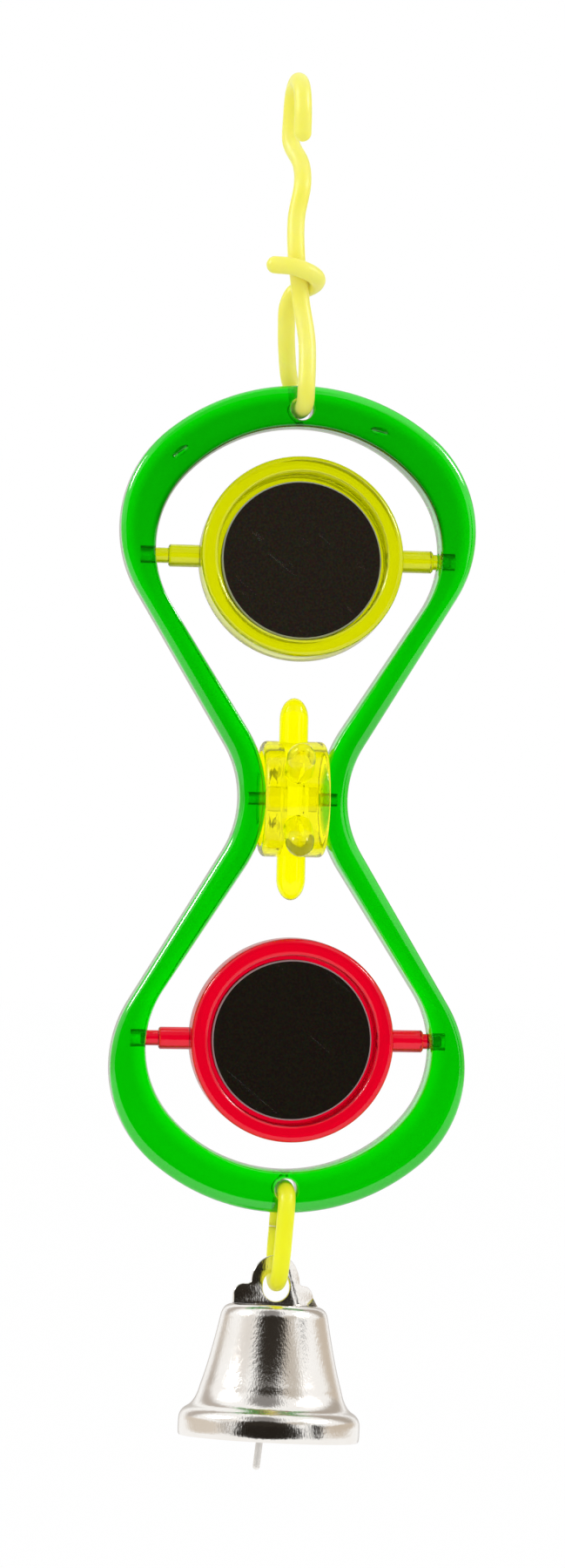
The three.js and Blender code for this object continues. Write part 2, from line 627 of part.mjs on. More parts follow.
// The clapper, a wire with an open eye in the crown's tongue. Heights are from its pivot.
function makeClapper() {
  const tip = BELL_TOP - BELL_HEIGHT - CLAPPER_SHOW - CLAPPER_PIVOT;
  const loop = CLAPPER_LOOP;
  const eyeStart = -20;
  const eyeEnd = 195;
  const eyeSteps = 6;
  const points = [];
  for (let i = 0; i <= eyeSteps; i += 1) {
    const turn = (eyeStart + ((eyeEnd - eyeStart) * i) / eyeSteps) * DEGREE;
    points.push(new THREE.Vector3(0, loop * Math.cos(turn), loop * Math.sin(turn) - loop));
  }
  points.push(
    new THREE.Vector3(0, -loop / 2, -CLAPPER_NECK + loop),
    new THREE.Vector3(0, 0, -CLAPPER_NECK),
    new THREE.Vector3(0, 0, (tip - CLAPPER_NECK) / 2),
    new THREE.Vector3(0, 0, tip),
  );
  const { curve, geometry } = wireAlong(points, CLAPPER_DIAMETER, 44);
  console.log(`clapper: least gap to itself ${leastGap(curve, CLAPPER_DIAMETER).toFixed(2)} mm`);
  return piece("clapper", geometry, nickel);
}

// The assembly. The toy is laid out about the middle of the frame's waist, and moved as a whole so
// that the inside of the hook comes to the origin.
const toy = new THREE.Group();
toy.position.set(-HOOK_SHIFT, 0, -HOLE_Z - HANGER_REACH);
toy.add(makeFrame(), makeWheel());

const upperMirror = makeMirror("upper", yellowPlastic, MIRROR_FIT - MIRROR_REST);
upperMirror.position.z = axleHeights.upper;
upperMirror.rotation.x = UPPER_TILT * DEGREE;
const lowerMirror = makeMirror("lower", redPlastic, 0);
lowerMirror.position.z = axleHeights.lower;
toy.add(upperMirror, lowerMirror);

const hanger = makeHanger();
hanger.position.z = HOLE_Z + WIRE_LIFT;
toy.add(hanger);

const link = new THREE.Group();
link.position.z = -HOLE_Z - WIRE_LIFT;
link.rotation.y = LINK_LEAN * DEGREE;
link.add(makeLink());
toy.add(link);

const bell = new THREE.Group();
bell.position.z = -LINK_DROP;
bell.rotation.set(BELL_PITCH * DEGREE, (BELL_LEAN - LINK_LEAN) * DEGREE, 0);
bell.add(makeBellShell(), makeCrown());
link.add(bell);

const clapper = makeClapper();
clapper.position.z = CLAPPER_PIVOT;
clapper.rotation.y = CLAPPER_LEAN * DEGREE;
bell.add(clapper);

const part = new THREE.Group();
part.add(toy);
export default part;
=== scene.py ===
# A hanging mirror toy for cage birds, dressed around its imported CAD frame. Metres, +Z up, front -Y.
import json
from math import acos, asin, atan2, cos, hypot, pi, radians, sin, sqrt, tan

import bmesh
import bpy
from mathutils import Matrix, Vector
from mathutils.kdtree import KDTree


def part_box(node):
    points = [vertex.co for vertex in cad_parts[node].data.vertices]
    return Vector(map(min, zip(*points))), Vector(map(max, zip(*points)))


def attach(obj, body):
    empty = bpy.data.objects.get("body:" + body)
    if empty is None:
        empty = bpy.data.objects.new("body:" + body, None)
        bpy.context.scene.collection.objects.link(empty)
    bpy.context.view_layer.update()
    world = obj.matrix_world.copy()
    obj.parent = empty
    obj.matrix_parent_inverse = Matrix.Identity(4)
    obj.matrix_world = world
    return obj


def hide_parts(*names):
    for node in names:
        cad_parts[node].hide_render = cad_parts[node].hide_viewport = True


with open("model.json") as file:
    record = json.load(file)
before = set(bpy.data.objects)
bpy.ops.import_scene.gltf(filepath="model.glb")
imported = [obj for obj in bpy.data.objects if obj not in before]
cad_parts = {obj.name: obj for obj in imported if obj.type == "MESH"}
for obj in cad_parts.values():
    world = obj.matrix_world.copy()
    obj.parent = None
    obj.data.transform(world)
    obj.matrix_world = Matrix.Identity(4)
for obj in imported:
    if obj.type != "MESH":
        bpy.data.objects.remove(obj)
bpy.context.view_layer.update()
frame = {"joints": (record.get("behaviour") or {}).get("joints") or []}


# The frame: one injection moulding in clear green plastic. It is a loop like an hourglass, with a
# wire hole at each end and six blind sockets in its inner edge that the pins snap into.
OUTER_ROUND, INNER_ROUND = (0.0016, 0.0011), (0.0005, 0.0022)  # across the face and in depth
ARCH_BAR, SIDE_BAR, WAIST_BAR = 0.0061, 0.00515, 0.00395
WAIST_GAP, WAIST_RADIUS = 0.0077, 0.0147
OUTER_CROWN, OUTER_SHOULDER = 1.17, 0.70  # radii for each unit of an arch's half width
INNER_CROWN, INNER_SHOULDER = 1.09, 0.735
WAIST_STEPS, FLANK_STEPS, SHOULDER_STEPS, CROWN_STEPS = 16, 14, 30, 18
ROUND_STEPS, FACE_STEPS = 8, 9
HOLE_DIAMETER, HOLE_EDGE, HOLE_ROUND = 0.0034, 0.0016, 0.0002
HOLE_SIDES, SOCKET_SIDES, SINK_SIDES, SINK_STEPS = 64, 40, 24, 6
PIN_DIAMETER, PIN_REACH = 0.0022, 0.0013
WHEEL_PIN_DIAMETER, WHEEL_PIN_REACH = 0.0015, 0.0015
SOCKET_FIT, SOCKET_END = 0.0002, 0.0010
SINK_MARKS = ((-0.0174, 0.0492, 38), (0.0112, 0.0529, -13))  # x, z from the waist, slope in degrees
SINK_SIZE, SINK_MARGIN = (0.0014, 0.0008, 0.00055), 1.02
SINK_PAINTED_SHADE, SINK_PAINTED_HIGHLIGHT, SINK_SPLIT = -0.8, 1, -0.2  # a sink mark's painted shade and painted highlight, and where they meet
PAINTED_LIGHT_REACH = (0.0004, 0.0019)  # painted edge highlight: full up to the first length from an edge, and gone over the second
PAINTED_EDGE_LEVEL, PAINTED_EDGE_RISE = 0.45, 0.6  # painted highlight of an upright edge, and what facing up adds to it
EDGE_STEPS = 12
# painted shade along the upper arch's inner corner: the corner's size, its reach in those sizes, and
# how dark it is painted
DARK_CORNER, DARK_REACH, DARK_DEPTH = 0.0004, 1.6, 1.2
DARK_FROM, DARK_GAIN = 0.6, 5  # how far an edge must face down, and how soon it is then painted dark
TOUCH = 1e-5

frame_low, frame_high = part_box("frame")
waist = (frame_low + frame_high) / 2
frame_width, frame_depth, frame_height = frame_high - frame_low


def arc(x, z, radius, start, end, steps):
    """Points of a round stretch about (x, z), from one angle to another."""
    turns = [start + (end - start) * i / steps for i in range(steps + 1)]
    return [(x + radius * cos(t), z + radius * sin(t)) for t in turns]


def arch_bends(half_height, half_width, crown, shoulder):
    """An arch's crown and shoulder radii, where they meet, and the heights of their centres."""
    crown_radius, radius = crown * half_width, shoulder * half_width
    turn = asin((half_width - radius) / (crown_radius - radius))
    crown_z = half_height - crown_radius
    return crown_radius, radius, turn, crown_z, crown_z + (crown_radius - radius) * cos(turn)


def loop_outline(half_height, half_width, crown, shoulder, waist_half, waist_radius):
    """The hourglass: waist, flank, shoulder and crown of one quarter, mirrored both ways."""
    bends = arch_bends(half_height, half_width, crown, shoulder)
    crown_radius, radius, turn, crown_z, shoulder_z = bends
    shoulder_x, waist_x = half_width - radius, waist_half + waist_radius
    across = shoulder_x - waist_x
    reach = hypot(across, shoulder_z)
    flank = acos(-(radius + waist_radius) / reach) - atan2(shoulder_z, across)
    quarter = arc(waist_x, 0, waist_radius, pi, pi - flank, WAIST_STEPS)
    bend = arc(shoulder_x, shoulder_z, radius, -flank, pi / 2 - turn, SHOULDER_STEPS)
    (x0, z0), (x1, z1) = quarter[-1], bend[0]
    for i in range(1, FLANK_STEPS):
        quarter.append((x0 + (x1 - x0) * i / FLANK_STEPS, z0 + (z1 - z0) * i / FLANK_STEPS))
    top = arc(0, crown_z, crown_radius, pi / 2 - turn, pi / 2, CROWN_STEPS)
    quarter += bend + top[1:]
    upper = quarter + [(-x, z) for x, z in reversed(quarter[:-1])]
    return upper + [(x, -z) for x, z in reversed(upper[1:-1])]


def inner_edge(z):
    """Half the clear width of an arch at a height above the waist."""
    half_width = frame_width / 2 - SIDE_BAR
    bends = arch_bends(frame_height / 2 - ARCH_BAR, half_width, INNER_CROWN, INNER_SHOULDER)
    radius, centre = bends[1], bends[-1]
    return half_width - radius + sqrt(radius**2 - (z - centre) ** 2)


def mesh_from(name, points, faces):
    """A mesh whose faces all point outwards."""
    mesh = bpy.data.meshes.new(name)
    mesh.from_pydata(points, [], faces)
    work = bmesh.new()
    work.from_mesh(mesh)
    bmesh.ops.recalc_face_normals(work, faces=work.faces)
    work.to_mesh(mesh)
    work.free()
    return mesh


def turned(name, profile, steps, closed=False):
    """A profile of (radius, height) points, turned about Z. An open profile starts and ends on the
    axis."""
    points, rings = [], []
    for radius, height in profile:
        count = 1 if radius == 0 else steps
        rings.append([len(points) + i for i in range(count)])
        for i in range(count):
            angle = 2 * pi * i / steps
            points.append((radius * cos(angle), radius * sin(angle), height))
    faces = []
    pairs = list(zip(rings, rings[1:])) + ([(rings[-1], rings[0])] if closed else [])
    for lower, upper in pairs:
        for i in range(steps):
            corners = [lower[i % len(lower)], lower[(i + 1) % len(lower)]]
            corners += [upper[(i + 1) % len(upper)], upper[i % len(upper)]]
            face = list(dict.fromkeys(corners))
            if len(face) > 2:
                faces.append(face)
    return mesh_from(name, points, faces)


def mirrored(half):
    """A profile's upper half, followed by its lower half."""
    return half + [(radius, -z) for radius, z in reversed(half)]


def placed(mesh, *moves):
    """The mesh with its place put into its points."""
    for move in moves:
        mesh.transform(move)
    return mesh


def tilt(degrees, axis):
    return Matrix.Rotation(radians(degrees), 4, axis)


def shift(x, y, z):
    return Matrix.Translation((x, y, z))


def from_waist(x, y, z):
    return Matrix.Translation(waist + Vector((x, y, z)))


ALONG_X, ALONG_Y = tilt(90, "Y"), tilt(-90, "X")


def as_object(name, data):
    piece = bpy.data.objects.new(name, data)
    bpy.context.scene.collection.objects.link(piece)
    return piece


def plain(piece):
    """Turns what the piece's modifiers make into its own plain mesh, and removes them."""
    graph = bpy.context.evaluated_depsgraph_get()
    mesh = bpy.data.meshes.new_from_object(piece.evaluated_get(graph))
    piece.modifiers.clear()
    piece.data = mesh
    return piece


def combine(piece, operation, tools):
    """Cuts or joins closed meshes, and takes the tools away."""
    for tool in tools:
        step = piece.modifiers.new(operation, "BOOLEAN")
        step.operation = operation
        step.solver = "MANIFOLD"
        step.object = as_object("tool", tool)
        step.object.hide_render = True
    used = [step.object for step in piece.modifiers]
    plain(piece)
    for tool in used:
        bpy.data.objects.remove(tool)
    return piece


def smooth(piece, degrees=30):
    """Smooth shading, with an edge kept sharp where two faces meet at more than this angle."""
    work = bmesh.new()
    work.from_mesh(piece.data)
    bmesh.ops.dissolve_degenerate(work, edges=work.edges, dist=1e-7)
    for edge in work.edges:
        sharp = edge.is_manifold and edge.calc_face_angle() > radians(degrees)
        edge.smooth = not sharp
    for face in work.faces:
        face.smooth = True
    work.to_mesh(piece.data)
    work.free()
    return piece


def dress(piece, body, slot, finish, *nodes):
    """Gives a finished piece its material and its place in the frame."""
    piece.data.materials.clear()
    piece.data.materials.append(finish)
    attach(piece, body)
    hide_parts(*nodes)
    return piece


def feed(tree, node, *ordered, **named):
    """Gives a node's inputs, in order or by name, plain values or other nodes' outputs."""
    inputs = {label.replace("_", " "): value for label, value in named.items()}
    inputs.update(enumerate(ordered))
    for label, value in inputs.items():
        if isinstance(value, bpy.types.NodeSocket):
            tree.links.new(value, node.inputs[label])
        else:
            node.inputs[label].default_value = value


def add_node(tree, kind, take=None, *ordered, **named):
    """Adds a node, and gives the output that is taken from it, or else the node. What is named in
    small letters sets the node itself, and the rest feeds its inputs."""
    node = tree.nodes.new(kind if "Node" in kind else "ShaderNode" + kind)
    for name in [name for name in named if name.islower()]:
        setattr(node, name, named.pop(name))
    feed(tree, node, *ordered, **named)
    return node.outputs[take] if take else node


def maths(tree, operation, *values):
    return add_node(tree, "Math", "Value", *values, operation=operation)


def ranged(tree, value, start=0, end=1, low=0, high=1, **settings):
    """Lays a value's range from start to end on low to high."""
    spans = {"From_Min": start, "From_Max": end, "To_Min": low, "To_Max": high}
    return add_node(tree, "MapRange", "Result", Value=value, **spans, **settings)


def mixed(tree, factor, first, second, blend="MIX"):
    """A colour between two, each written as red, green and blue or taken from a node."""
    colours = [(*colour, 1) if isinstance(colour, tuple) else colour for colour in (first, second)]
    shares = dict(zip(("Factor", "A", "B"), (factor, *colours)))
    return add_node(tree, "Mix", "Result", data_type="RGBA", blend_type=blend, **shares)


def new_group(name, kind, inputs, outputs):
    """A node group with named sockets: its tree, its input sockets by name, and its two ends."""
    tree = bpy.data.node_groups.new(name, kind)

    def socket(label, way, content):
        return tree.interface.new_socket(label, in_out=way, socket_type="NodeSocket" + content)

    sockets = {label: socket(label, "INPUT", content) for label, content in inputs.items()}
    for label, content in outputs.items():
        socket(label, "OUTPUT", content)
    start, end = add_node(tree, "NodeGroupInput"), add_node(tree, "NodeGroupOutput")
    return tree, sockets, start.outputs, end


HAIRLINE_TURN, HAIRLINE_STRETCH, HAIRLINE_SPAN = (0, 0.7, 0), (25, 1, 1), (0.66, 0.74)
MOULDED_WAVES = 120


def moulded_surface():
    """Slow waves of a moulded face and the fine hairlines of handling, as a height and a mask."""
    sizes = {"Wave Scale": MOULDED_WAVES, "Hairline Scale": 900, "Hairlines": 0.3}
    inputs, outputs = dict.fromkeys(sizes, "Float"), {"Height": "Float", "Hairlines": "Float"}
    tree, sockets, given, end = new_group("moulded_surface", "ShaderNodeTree", inputs, outputs)
    for label, size in sizes.items():
        sockets[label].default_value = size
    place = add_node(tree, "TexCoord", "Object")
    waves = add_node(tree, "TexNoise", "Fac", Vector=place, Scale=given["Wave Scale"])
    drawn = {"vector_type": "TEXTURE", "Rotation": HAIRLINE_TURN, "Scale": HAIRLINE_STRETCH}
    drawn = add_node(tree, "Mapping", "Vector", Vector=place, **drawn)
    lines = add_node(tree, "TexNoise", "Fac", Vector=drawn, Scale=given["Hairline Scale"])
    lines = maths(tree, "MULTIPLY", ranged(tree, lines, *HAIRLINE_SPAN), given["Hairlines"])
    feed(tree, end, Height=maths(tree, "SUBTRACT", waves, lines), Hairlines=lines)
    return tree


moulded = moulded_surface()


def new_finish(name):
    material = bpy.data.materials.new(name)
    material.use_nodes = True
    return material, material.node_tree, material.node_tree.nodes["Principled BSDF"]


def tint_depth(tree, tint, density):
    """Tints what is seen through a piece, more where it is thicker."""
    volume = add_node(tree, "VolumeAbsorption", "Volume", Color=(*tint, 1), Density=density)
    feed(tree, tree.nodes["Material Output"], Volume=volume)


def surface_of(tree, shader, mask, roughness, height, strength, distance):
    """Roughness between two values by a mask, and a relief by a height."""
    relief = add_node(tree, "Bump", "Normal", Strength=strength, Distance=distance, Height=height)
    feed(tree, shader, Roughness=ranged(tree, mask, 0, 1, *roughness), Normal=relief)


PAINTED_TOP_SHADE = (-0.15, 0.85)  # share of the lower tone at the frame's top and foot; less of it at the top is painted shade
CLOUD_SCALE, CLOUD_SWAY = 70, 0.3
CLEAR_ROUGHNESS, CLEAR_RELIEF = (0.02, 0.25), 0.0002


def clear_plastic(
    name, tones, tint, density, through, ior, coat=0, waves=MOULDED_WAVES, ripple=0.12
):
    """Glossy clear plastic. Its tone is painted deeper towards the top, a painted shade where less
    light comes through it, and marked edges carry a painted highlight or painted shade. The tint
    deepens with thickness. Faint waves and hairlines cover it."""
    upper, lower, painted_edge_highlight, painted_edge_shade = tones
    material, tree, shader = new_finish(name)
    place = add_node(tree, "TexCoord", "Object")
    height = add_node(tree, "SeparateXYZ", "Z", Vector=place)
    # the top of each piece is painted darker by height: painted shade
    drop = ranged(tree, height, frame_high.z, frame_low.z, *PAINTED_TOP_SHADE)
    cloud = add_node(tree, "TexNoise", "Fac", Vector=place, Scale=CLOUD_SCALE)
    tone = mixed(tree, maths(tree, "MULTIPLY_ADD", cloud, CLOUD_SWAY, drop), upper, lower)
    # the frame's painted highlight and painted shade at its edges, sockets and sink marks
    painted_light = add_node(tree, "Attribute", "Fac", attribute_name="edge_glow")
    tone = mixed(tree, painted_light, tone, painted_edge_highlight)
    tone = mixed(tree, maths(tree, "MULTIPLY", painted_light, -1), tone, painted_edge_shade)
    tint_depth(tree, tint, density)
    face = add_node(tree, "Group", node_tree=moulded, Wave_Scale=waves).outputs
    surface_of(
        tree, shader, face["Hairlines"], CLEAR_ROUGHNESS, face["Height"], ripple, CLEAR_RELIEF
    )
    feed(tree, shader, Base_Color=tone, IOR=ior, Transmission_Weight=through, Coat_Weight=coat)
    return material


def frame_outlines():
    """The loop's outside and inside, point for point."""
    half_height, half_width = frame_height / 2, frame_width / 2
    outside = half_height, half_width, OUTER_CROWN, OUTER_SHOULDER
    inside = half_height - ARCH_BAR, half_width - SIDE_BAR, INNER_CROWN, INNER_SHOULDER
    return (
        loop_outline(*outside, WAIST_GAP / 2 + WAIST_BAR, WAIST_RADIUS),
        loop_outline(*inside, WAIST_GAP / 2, WAIST_RADIUS + WAIST_BAR),
    )


def frame_loop():
    """The moulding's bar, lofted between the loop's outside and inside with rounded edges."""
    deep = frame_depth / 2
    corner = [(1 + x, 1 + z) for x, z in arc(0, 0, 1, pi, 1.5 * pi, ROUND_STEPS)]
    half = [(0, INNER_ROUND[0] * inset, INNER_ROUND[1] * y - deep) for inset, y in corner]
    half += [(i / FACE_STEPS, 0, -deep) for i in range(1, FACE_STEPS)]
    half += [
        (1, OUTER_ROUND[0] * inset, OUTER_ROUND[1] * y - deep) for inset, y in reversed(corner)
    ]
    section = half + [(share, inset, -y) for share, inset, y in reversed(half)]
    points = []
    outlines = frame_outlines()
    for outer, inner in zip(*outlines):
        outer, inner = Vector(outer), Vector(inner)
        across = (outer - inner).normalized()
        for share, inset, y in section:
            if share in (0, 1):
                place = inner + across * inset if share == 0 else outer - across * inset
            else:
                start, end = inner + across * INNER_ROUND[0], outer - across * OUTER_ROUND[0]
                place = start.lerp(end, share)
            points.append((place.x, y, place.y))
    count, ring = len(outlines[0]), len(section)
    faces = []
    for i in range(count):
        for j in range(ring):
            here, after = i * ring, (i + 1) % count * ring
            faces.append((here + j, here + (j + 1) % ring, after + (j + 1) % ring, after + j))
    return placed(mesh_from("clear_frame", points, faces), Matrix.Translation(waist))


def frame_sockets():
    """Height from the waist, reach from the middle and radius of each row of sockets."""
    low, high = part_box("upper_mirror_ring")
    axle = (low.z + high.z) / 2 - waist.z
    mirror_end = inner_edge(axle) + PIN_REACH + SOCKET_END
    mirror_socket = PIN_DIAMETER / 2 + SOCKET_FIT
    wheel_end = WAIST_GAP / 2 + WHEEL_PIN_REACH + SOCKET_END
    wheel_socket = WHEEL_PIN_DIAMETER / 2 + SOCKET_FIT
    rows = [(z, mirror_end, mirror_socket) for z in (axle, -axle)]
    return rows + [(0, wheel_end, wheel_socket)]


def frame_cuts():
    """Wire holes with rounded rims, blind sockets for the pins, and two sink marks in the face."""
    radius, deep = HOLE_DIAMETER / 2, frame_depth / 2
    flare = [(0, 2 * deep), (radius + HOLE_ROUND, 2 * deep)]
    flare += arc(radius + HOLE_ROUND, deep - HOLE_ROUND, HOLE_ROUND, pi / 2, pi, steps=5)
    hole_z = frame_height / 2 - HOLE_EDGE - radius
    cuts = []
    for z in (hole_z, -hole_z):
        hole = turned("hole", mirrored(flare), HOLE_SIDES)
        cuts.append(placed(hole, ALONG_Y, from_waist(0, 0, z)))
    for z, end, socket in frame_sockets():
        profile = [(0, -end), (socket, -end), (socket, end), (0, end)]
        cuts.append(placed(turned("socket", profile, SOCKET_SIDES), ALONG_X, from_waist(0, 0, z)))
    turns = [pi * i / (2 * SINK_STEPS) for i in range(1 - SINK_STEPS, SINK_STEPS)]
    ball = [(cos(t), sin(t)) for t in turns]
    for x, z, slope in SINK_MARKS:
        sink = turned("sink", [(0, -1), *ball, (0, 1)], SINK_SIDES)
        sink = placed(sink, Matrix.Diagonal((*SINK_SIZE, 1)), tilt(-slope, "Y"))
        cuts.append(placed(sink, from_waist(x, -deep, z)))
    return cuts


def paint_light_at_edges(piece):
    """Paints light and shade on clear plastic where it gathers light or loses it. Edges get a painted
    highlight, most where they face up, and it falls off towards the bar's middle. The sockets get
    the full painted highlight. The upper arch's inner corner and one side of a sink mark get painted
    shade, the sink mark's other side a painted highlight."""

    def share(value):
        return min(max(value, 0), 1)

    spots, rises = [], []
    outside, inside = ([Vector(point) for point in ring] for ring in frame_outlines())
    for i, (outer, inner) in enumerate(zip(outside, inside)):
        rise = (outer - inner).normalized().y
        for step in range(EDGE_STEPS):
            along = step / EDGE_STEPS
            spots += [outer.lerp(outside[i - 1], along), inner.lerp(inside[i - 1], along)]
            rises += [rise, -rise]
    tree = KDTree(len(spots))
    for i, spot in enumerate(spots):
        tree.insert((spot.x, 0, spot.y), i)
    tree.balance()
    mark = piece.data.attributes.new("edge_glow", "FLOAT", "POINT")
    sockets = frame_sockets()
    deep = frame_depth / 2
    for vertex in piece.data.vertices:
        x, y, z = vertex.co - waist
        _, spot, inset = tree.find((x, 0, z))
        near = 1 - share((inset - PAINTED_LIGHT_REACH[0]) / PAINTED_LIGHT_REACH[1])
        painted_light = near * (PAINTED_EDGE_LEVEL + PAINTED_EDGE_RISE * rises[spot])
        if spot % 2 and deep - abs(y) < DARK_CORNER:
            corner = share(DARK_REACH - inset / DARK_CORNER)
            painted_light -= DARK_DEPTH * corner * share((-rises[spot] - DARK_FROM) * DARK_GAIN)
        # the sockets are painted with the full edge highlight, painted light that lifts their dark
        # walls
        for height, end, socket in sockets:
            if abs(x) < end + TOUCH and hypot(y, z - height) < socket + TOUCH:
                painted_light = 1
        for mark_x, mark_z, slope in SINK_MARKS:
            turn = radians(slope)
            along = (x - mark_x) * cos(turn) + (z - mark_z) * sin(turn)
            across = (z - mark_z) * cos(turn) - (x - mark_x) * sin(turn)
            in_mark = abs(along) < SINK_SIZE[0] and abs(across) < SINK_MARGIN * SINK_SIZE[2]
            if in_mark and TOUCH < y + deep < SINK_SIZE[1] + TOUCH:
                # one side of the sink mark is painted dark and the other bright: painted shade and
                # painted highlight
                painted_light = SINK_PAINTED_SHADE if across > SINK_SPLIT * SINK_SIZE[2] else SINK_PAINTED_HIGHLIGHT
        mark.data[vertex.index].value = painted_light


# the frame's tones: at the top with painted shade, at the foot, the painted edge highlight, the
# painted edge shade
green_tones = (0, 0.50, 0), (0, 0.74, 0), (0, 1, 0), (0, 0.04, 0)
green_body = {"tint": (0, 0.8, 0), "density": 150, "through": 0.85, "ior": 1.4}
green_plastic = clear_plastic("green_clear_plastic", green_tones, **green_body, coat=1.0)
clear_frame = as_object("clear_frame", frame_loop())
combine(clear_frame, "DIFFERENCE", frame_cuts())
smooth(clear_frame)
paint_light_at_edges(clear_frame)
dress(clear_frame, "frame", "green_clear_plastic", green_plastic, "frame")


# The mirror holders: clear moulded rings, yellow above and red below. A ledge half way down keeps
# the two mirrors of a ring apart, and a stepped pin on each side turns in the frame.
RING_DIAMETER, RING_DEPTH, RING_EDGE = 0.0292, 0.0056, 0.0008
RING_SIDES, PIN_SIDES = 160, 48
MIRROR_DIAMETER, MIRROR_THICKNESS = 0.0230, 0.0009
MIRROR_FIT, MIRROR_REST, MIRROR_BED = 0.0005, 0.0001, 0.0001
SEAT_FLARE, LIP_ROUND = 0.00025, 0.00045
LEDGE_WIDTH, LEDGE_THICKNESS = 0.0018, 0.0008
SHOULDER_DIAMETER, SHOULDER_GAP = 0.0032, 0.00135
PIN_CHAMFER = 0.0002
UPPER_TILT = -8


def ring_profile():
    seat = MIRROR_DIAMETER / 2 + MIRROR_FIT
    lip, outer = seat + SEAT_FLARE, RING_DIAMETER / 2
    deep, ledge = RING_DEPTH / 2, LEDGE_THICKNESS / 2
    half = [(seat - LEDGE_WIDTH, ledge), (seat, ledge)]
    half += arc(lip + LIP_ROUND, deep - LIP_ROUND, LIP_ROUND, pi, pi / 2, steps=4)
    half += arc(outer - RING_EDGE, deep - RING_EDGE, RING_EDGE, pi / 2, 0, steps=10)
    return mirrored(half)


def pin_profile(axle_inside):
    """Half of the stepped pin, from inside the ring's wall to its tip."""
    root = RING_DIAMETER / 2 - RING_EDGE
    shoulder, tip = axle_inside - SHOULDER_GAP, axle_inside + PIN_REACH
    thick, thin = SHOULDER_DIAMETER / 2, PIN_DIAMETER / 2
    profile = [(0, root), (thick, root), (thick, shoulder - PIN_CHAMFER)]
    profile += [(thick - PIN_CHAMFER, shoulder), (thin, shoulder), (thin, tip - PIN_CHAMFER)]
    return profile + [(thin - PIN_CHAMFER, tip), (0, tip)]


def mirror_holder(name, node, degrees):
    low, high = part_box(node)
    centre = (low + high) / 2
    axle_inside = inner_edge(abs(centre.z - waist.z))
    turn, move = tilt(degrees, "X"), Matrix.Translation(centre)
    ring = placed(turned(name, ring_profile(), RING_SIDES, closed=True), ALONG_Y, turn, move)
    pins = []
    for side in (90, -90):
        pin = turned("pin", pin_profile(axle_inside), PIN_SIDES)
        pins.append(placed(pin, tilt(side, "Y"), turn, move))
    return smooth(combine(as_object(name, ring), "UNION", pins)), turn, move


# each holder's tones: at the top, painted darker as painted shade; at the foot; then the painted edge
# highlight and painted edge shade
yellow_tones = (0.78, 0.82, 0), (0.84, 0.84, 0), (1, 1, 0.1), (0.3, 0.3, 0)
yellow_body = {"tint": (0.9, 0.9, 0), "density": 160, "through": 0.75, "ior": 1.48}
yellow_plastic = clear_plastic("yellow_clear_plastic", yellow_tones, **yellow_body)
red_tones = (0.86, 0, 0.02), (0.95, 0, 0.03), (1, 0.1, 0.1), (0.3, 0, 0.01)
red_body = {"tint": (0.9, 0, 0.3), "density": 120, "through": 0.8, "ior": 1.48}
red_plastic = clear_plastic("red_clear_plastic", red_tones, **red_body)
holders = {
    "upper": mirror_holder("yellow_mirror_holder", "upper_mirror_ring", UPPER_TILT),
    "lower": mirror_holder("red_mirror_holder", "lower_mirror_ring", 0),
}
upper_holder, lower_holder = holders["upper"][0], holders["lower"][0]
dress(upper_holder, "upper_mirror", "yellow_clear_plastic", yellow_plastic, "upper_mirror_ring")
dress(lower_holder, "lower_mirror", "red_clear_plastic", red_plastic, "lower_mirror_ring")


# The mirrors: four discs of silvered sheet, bedded on the ledges of the holders. Their rims are
# ground to a narrow pale bevel, and the faces carry dust and fine scratches.
MIRROR_BEVEL, MIRROR_SIDES = 0.0002, 160
FLAT = 0.9  # a face is silvered where this much of its normal lies along the disc's axis
DUST_SCALE, DUST_FROM, DUST_TO, DUST_DIM = 3000, (0.38,) * 3, (0.62,) * 3, (0.6,) * 3
SILVER, GROUND_GLASS = (0.95, 0.93, 0.89), (0.45, 0.46, 0.46)


def mirror_finish():
    material, tree, shader = new_finish("mirror_glass")
    wear = {"Wave_Scale": 2500, "Hairline_Scale": 1500, "Hairlines": 0.02}
    face = add_node(tree, "Group", node_tree=moulded, **wear).outputs
    rim = add_node(tree, "Attribute", "Fac", attribute_name="ground_rim")
    place = add_node(tree, "TexCoord", "Object")
    grain = add_node(tree, "TexNoise", "Color", Vector=place, Scale=DUST_SCALE, Detail=2)
    dust = {"From_Min": DUST_FROM, "From_Max": DUST_TO, "To_Min": DUST_DIM}
    dust = add_node(tree, "MapRange", "Vector", data_type="FLOAT_VECTOR", Vector=grain, **dust)
    tone = mixed(tree, rim, mixed(tree, 1, SILVER, dust, "MULTIPLY"), GROUND_GLASS)
    wear = maths(tree, "MAXIMUM", rim, face["Hairlines"])
    surface_of(tree, shader, wear, (0.02, 0.55), face["Height"], strength=0.02, distance=0.0001)
    feed(tree, shader, Base_Color=tone, Metallic=maths(tree, "SUBTRACT", 1, wear))
    return material


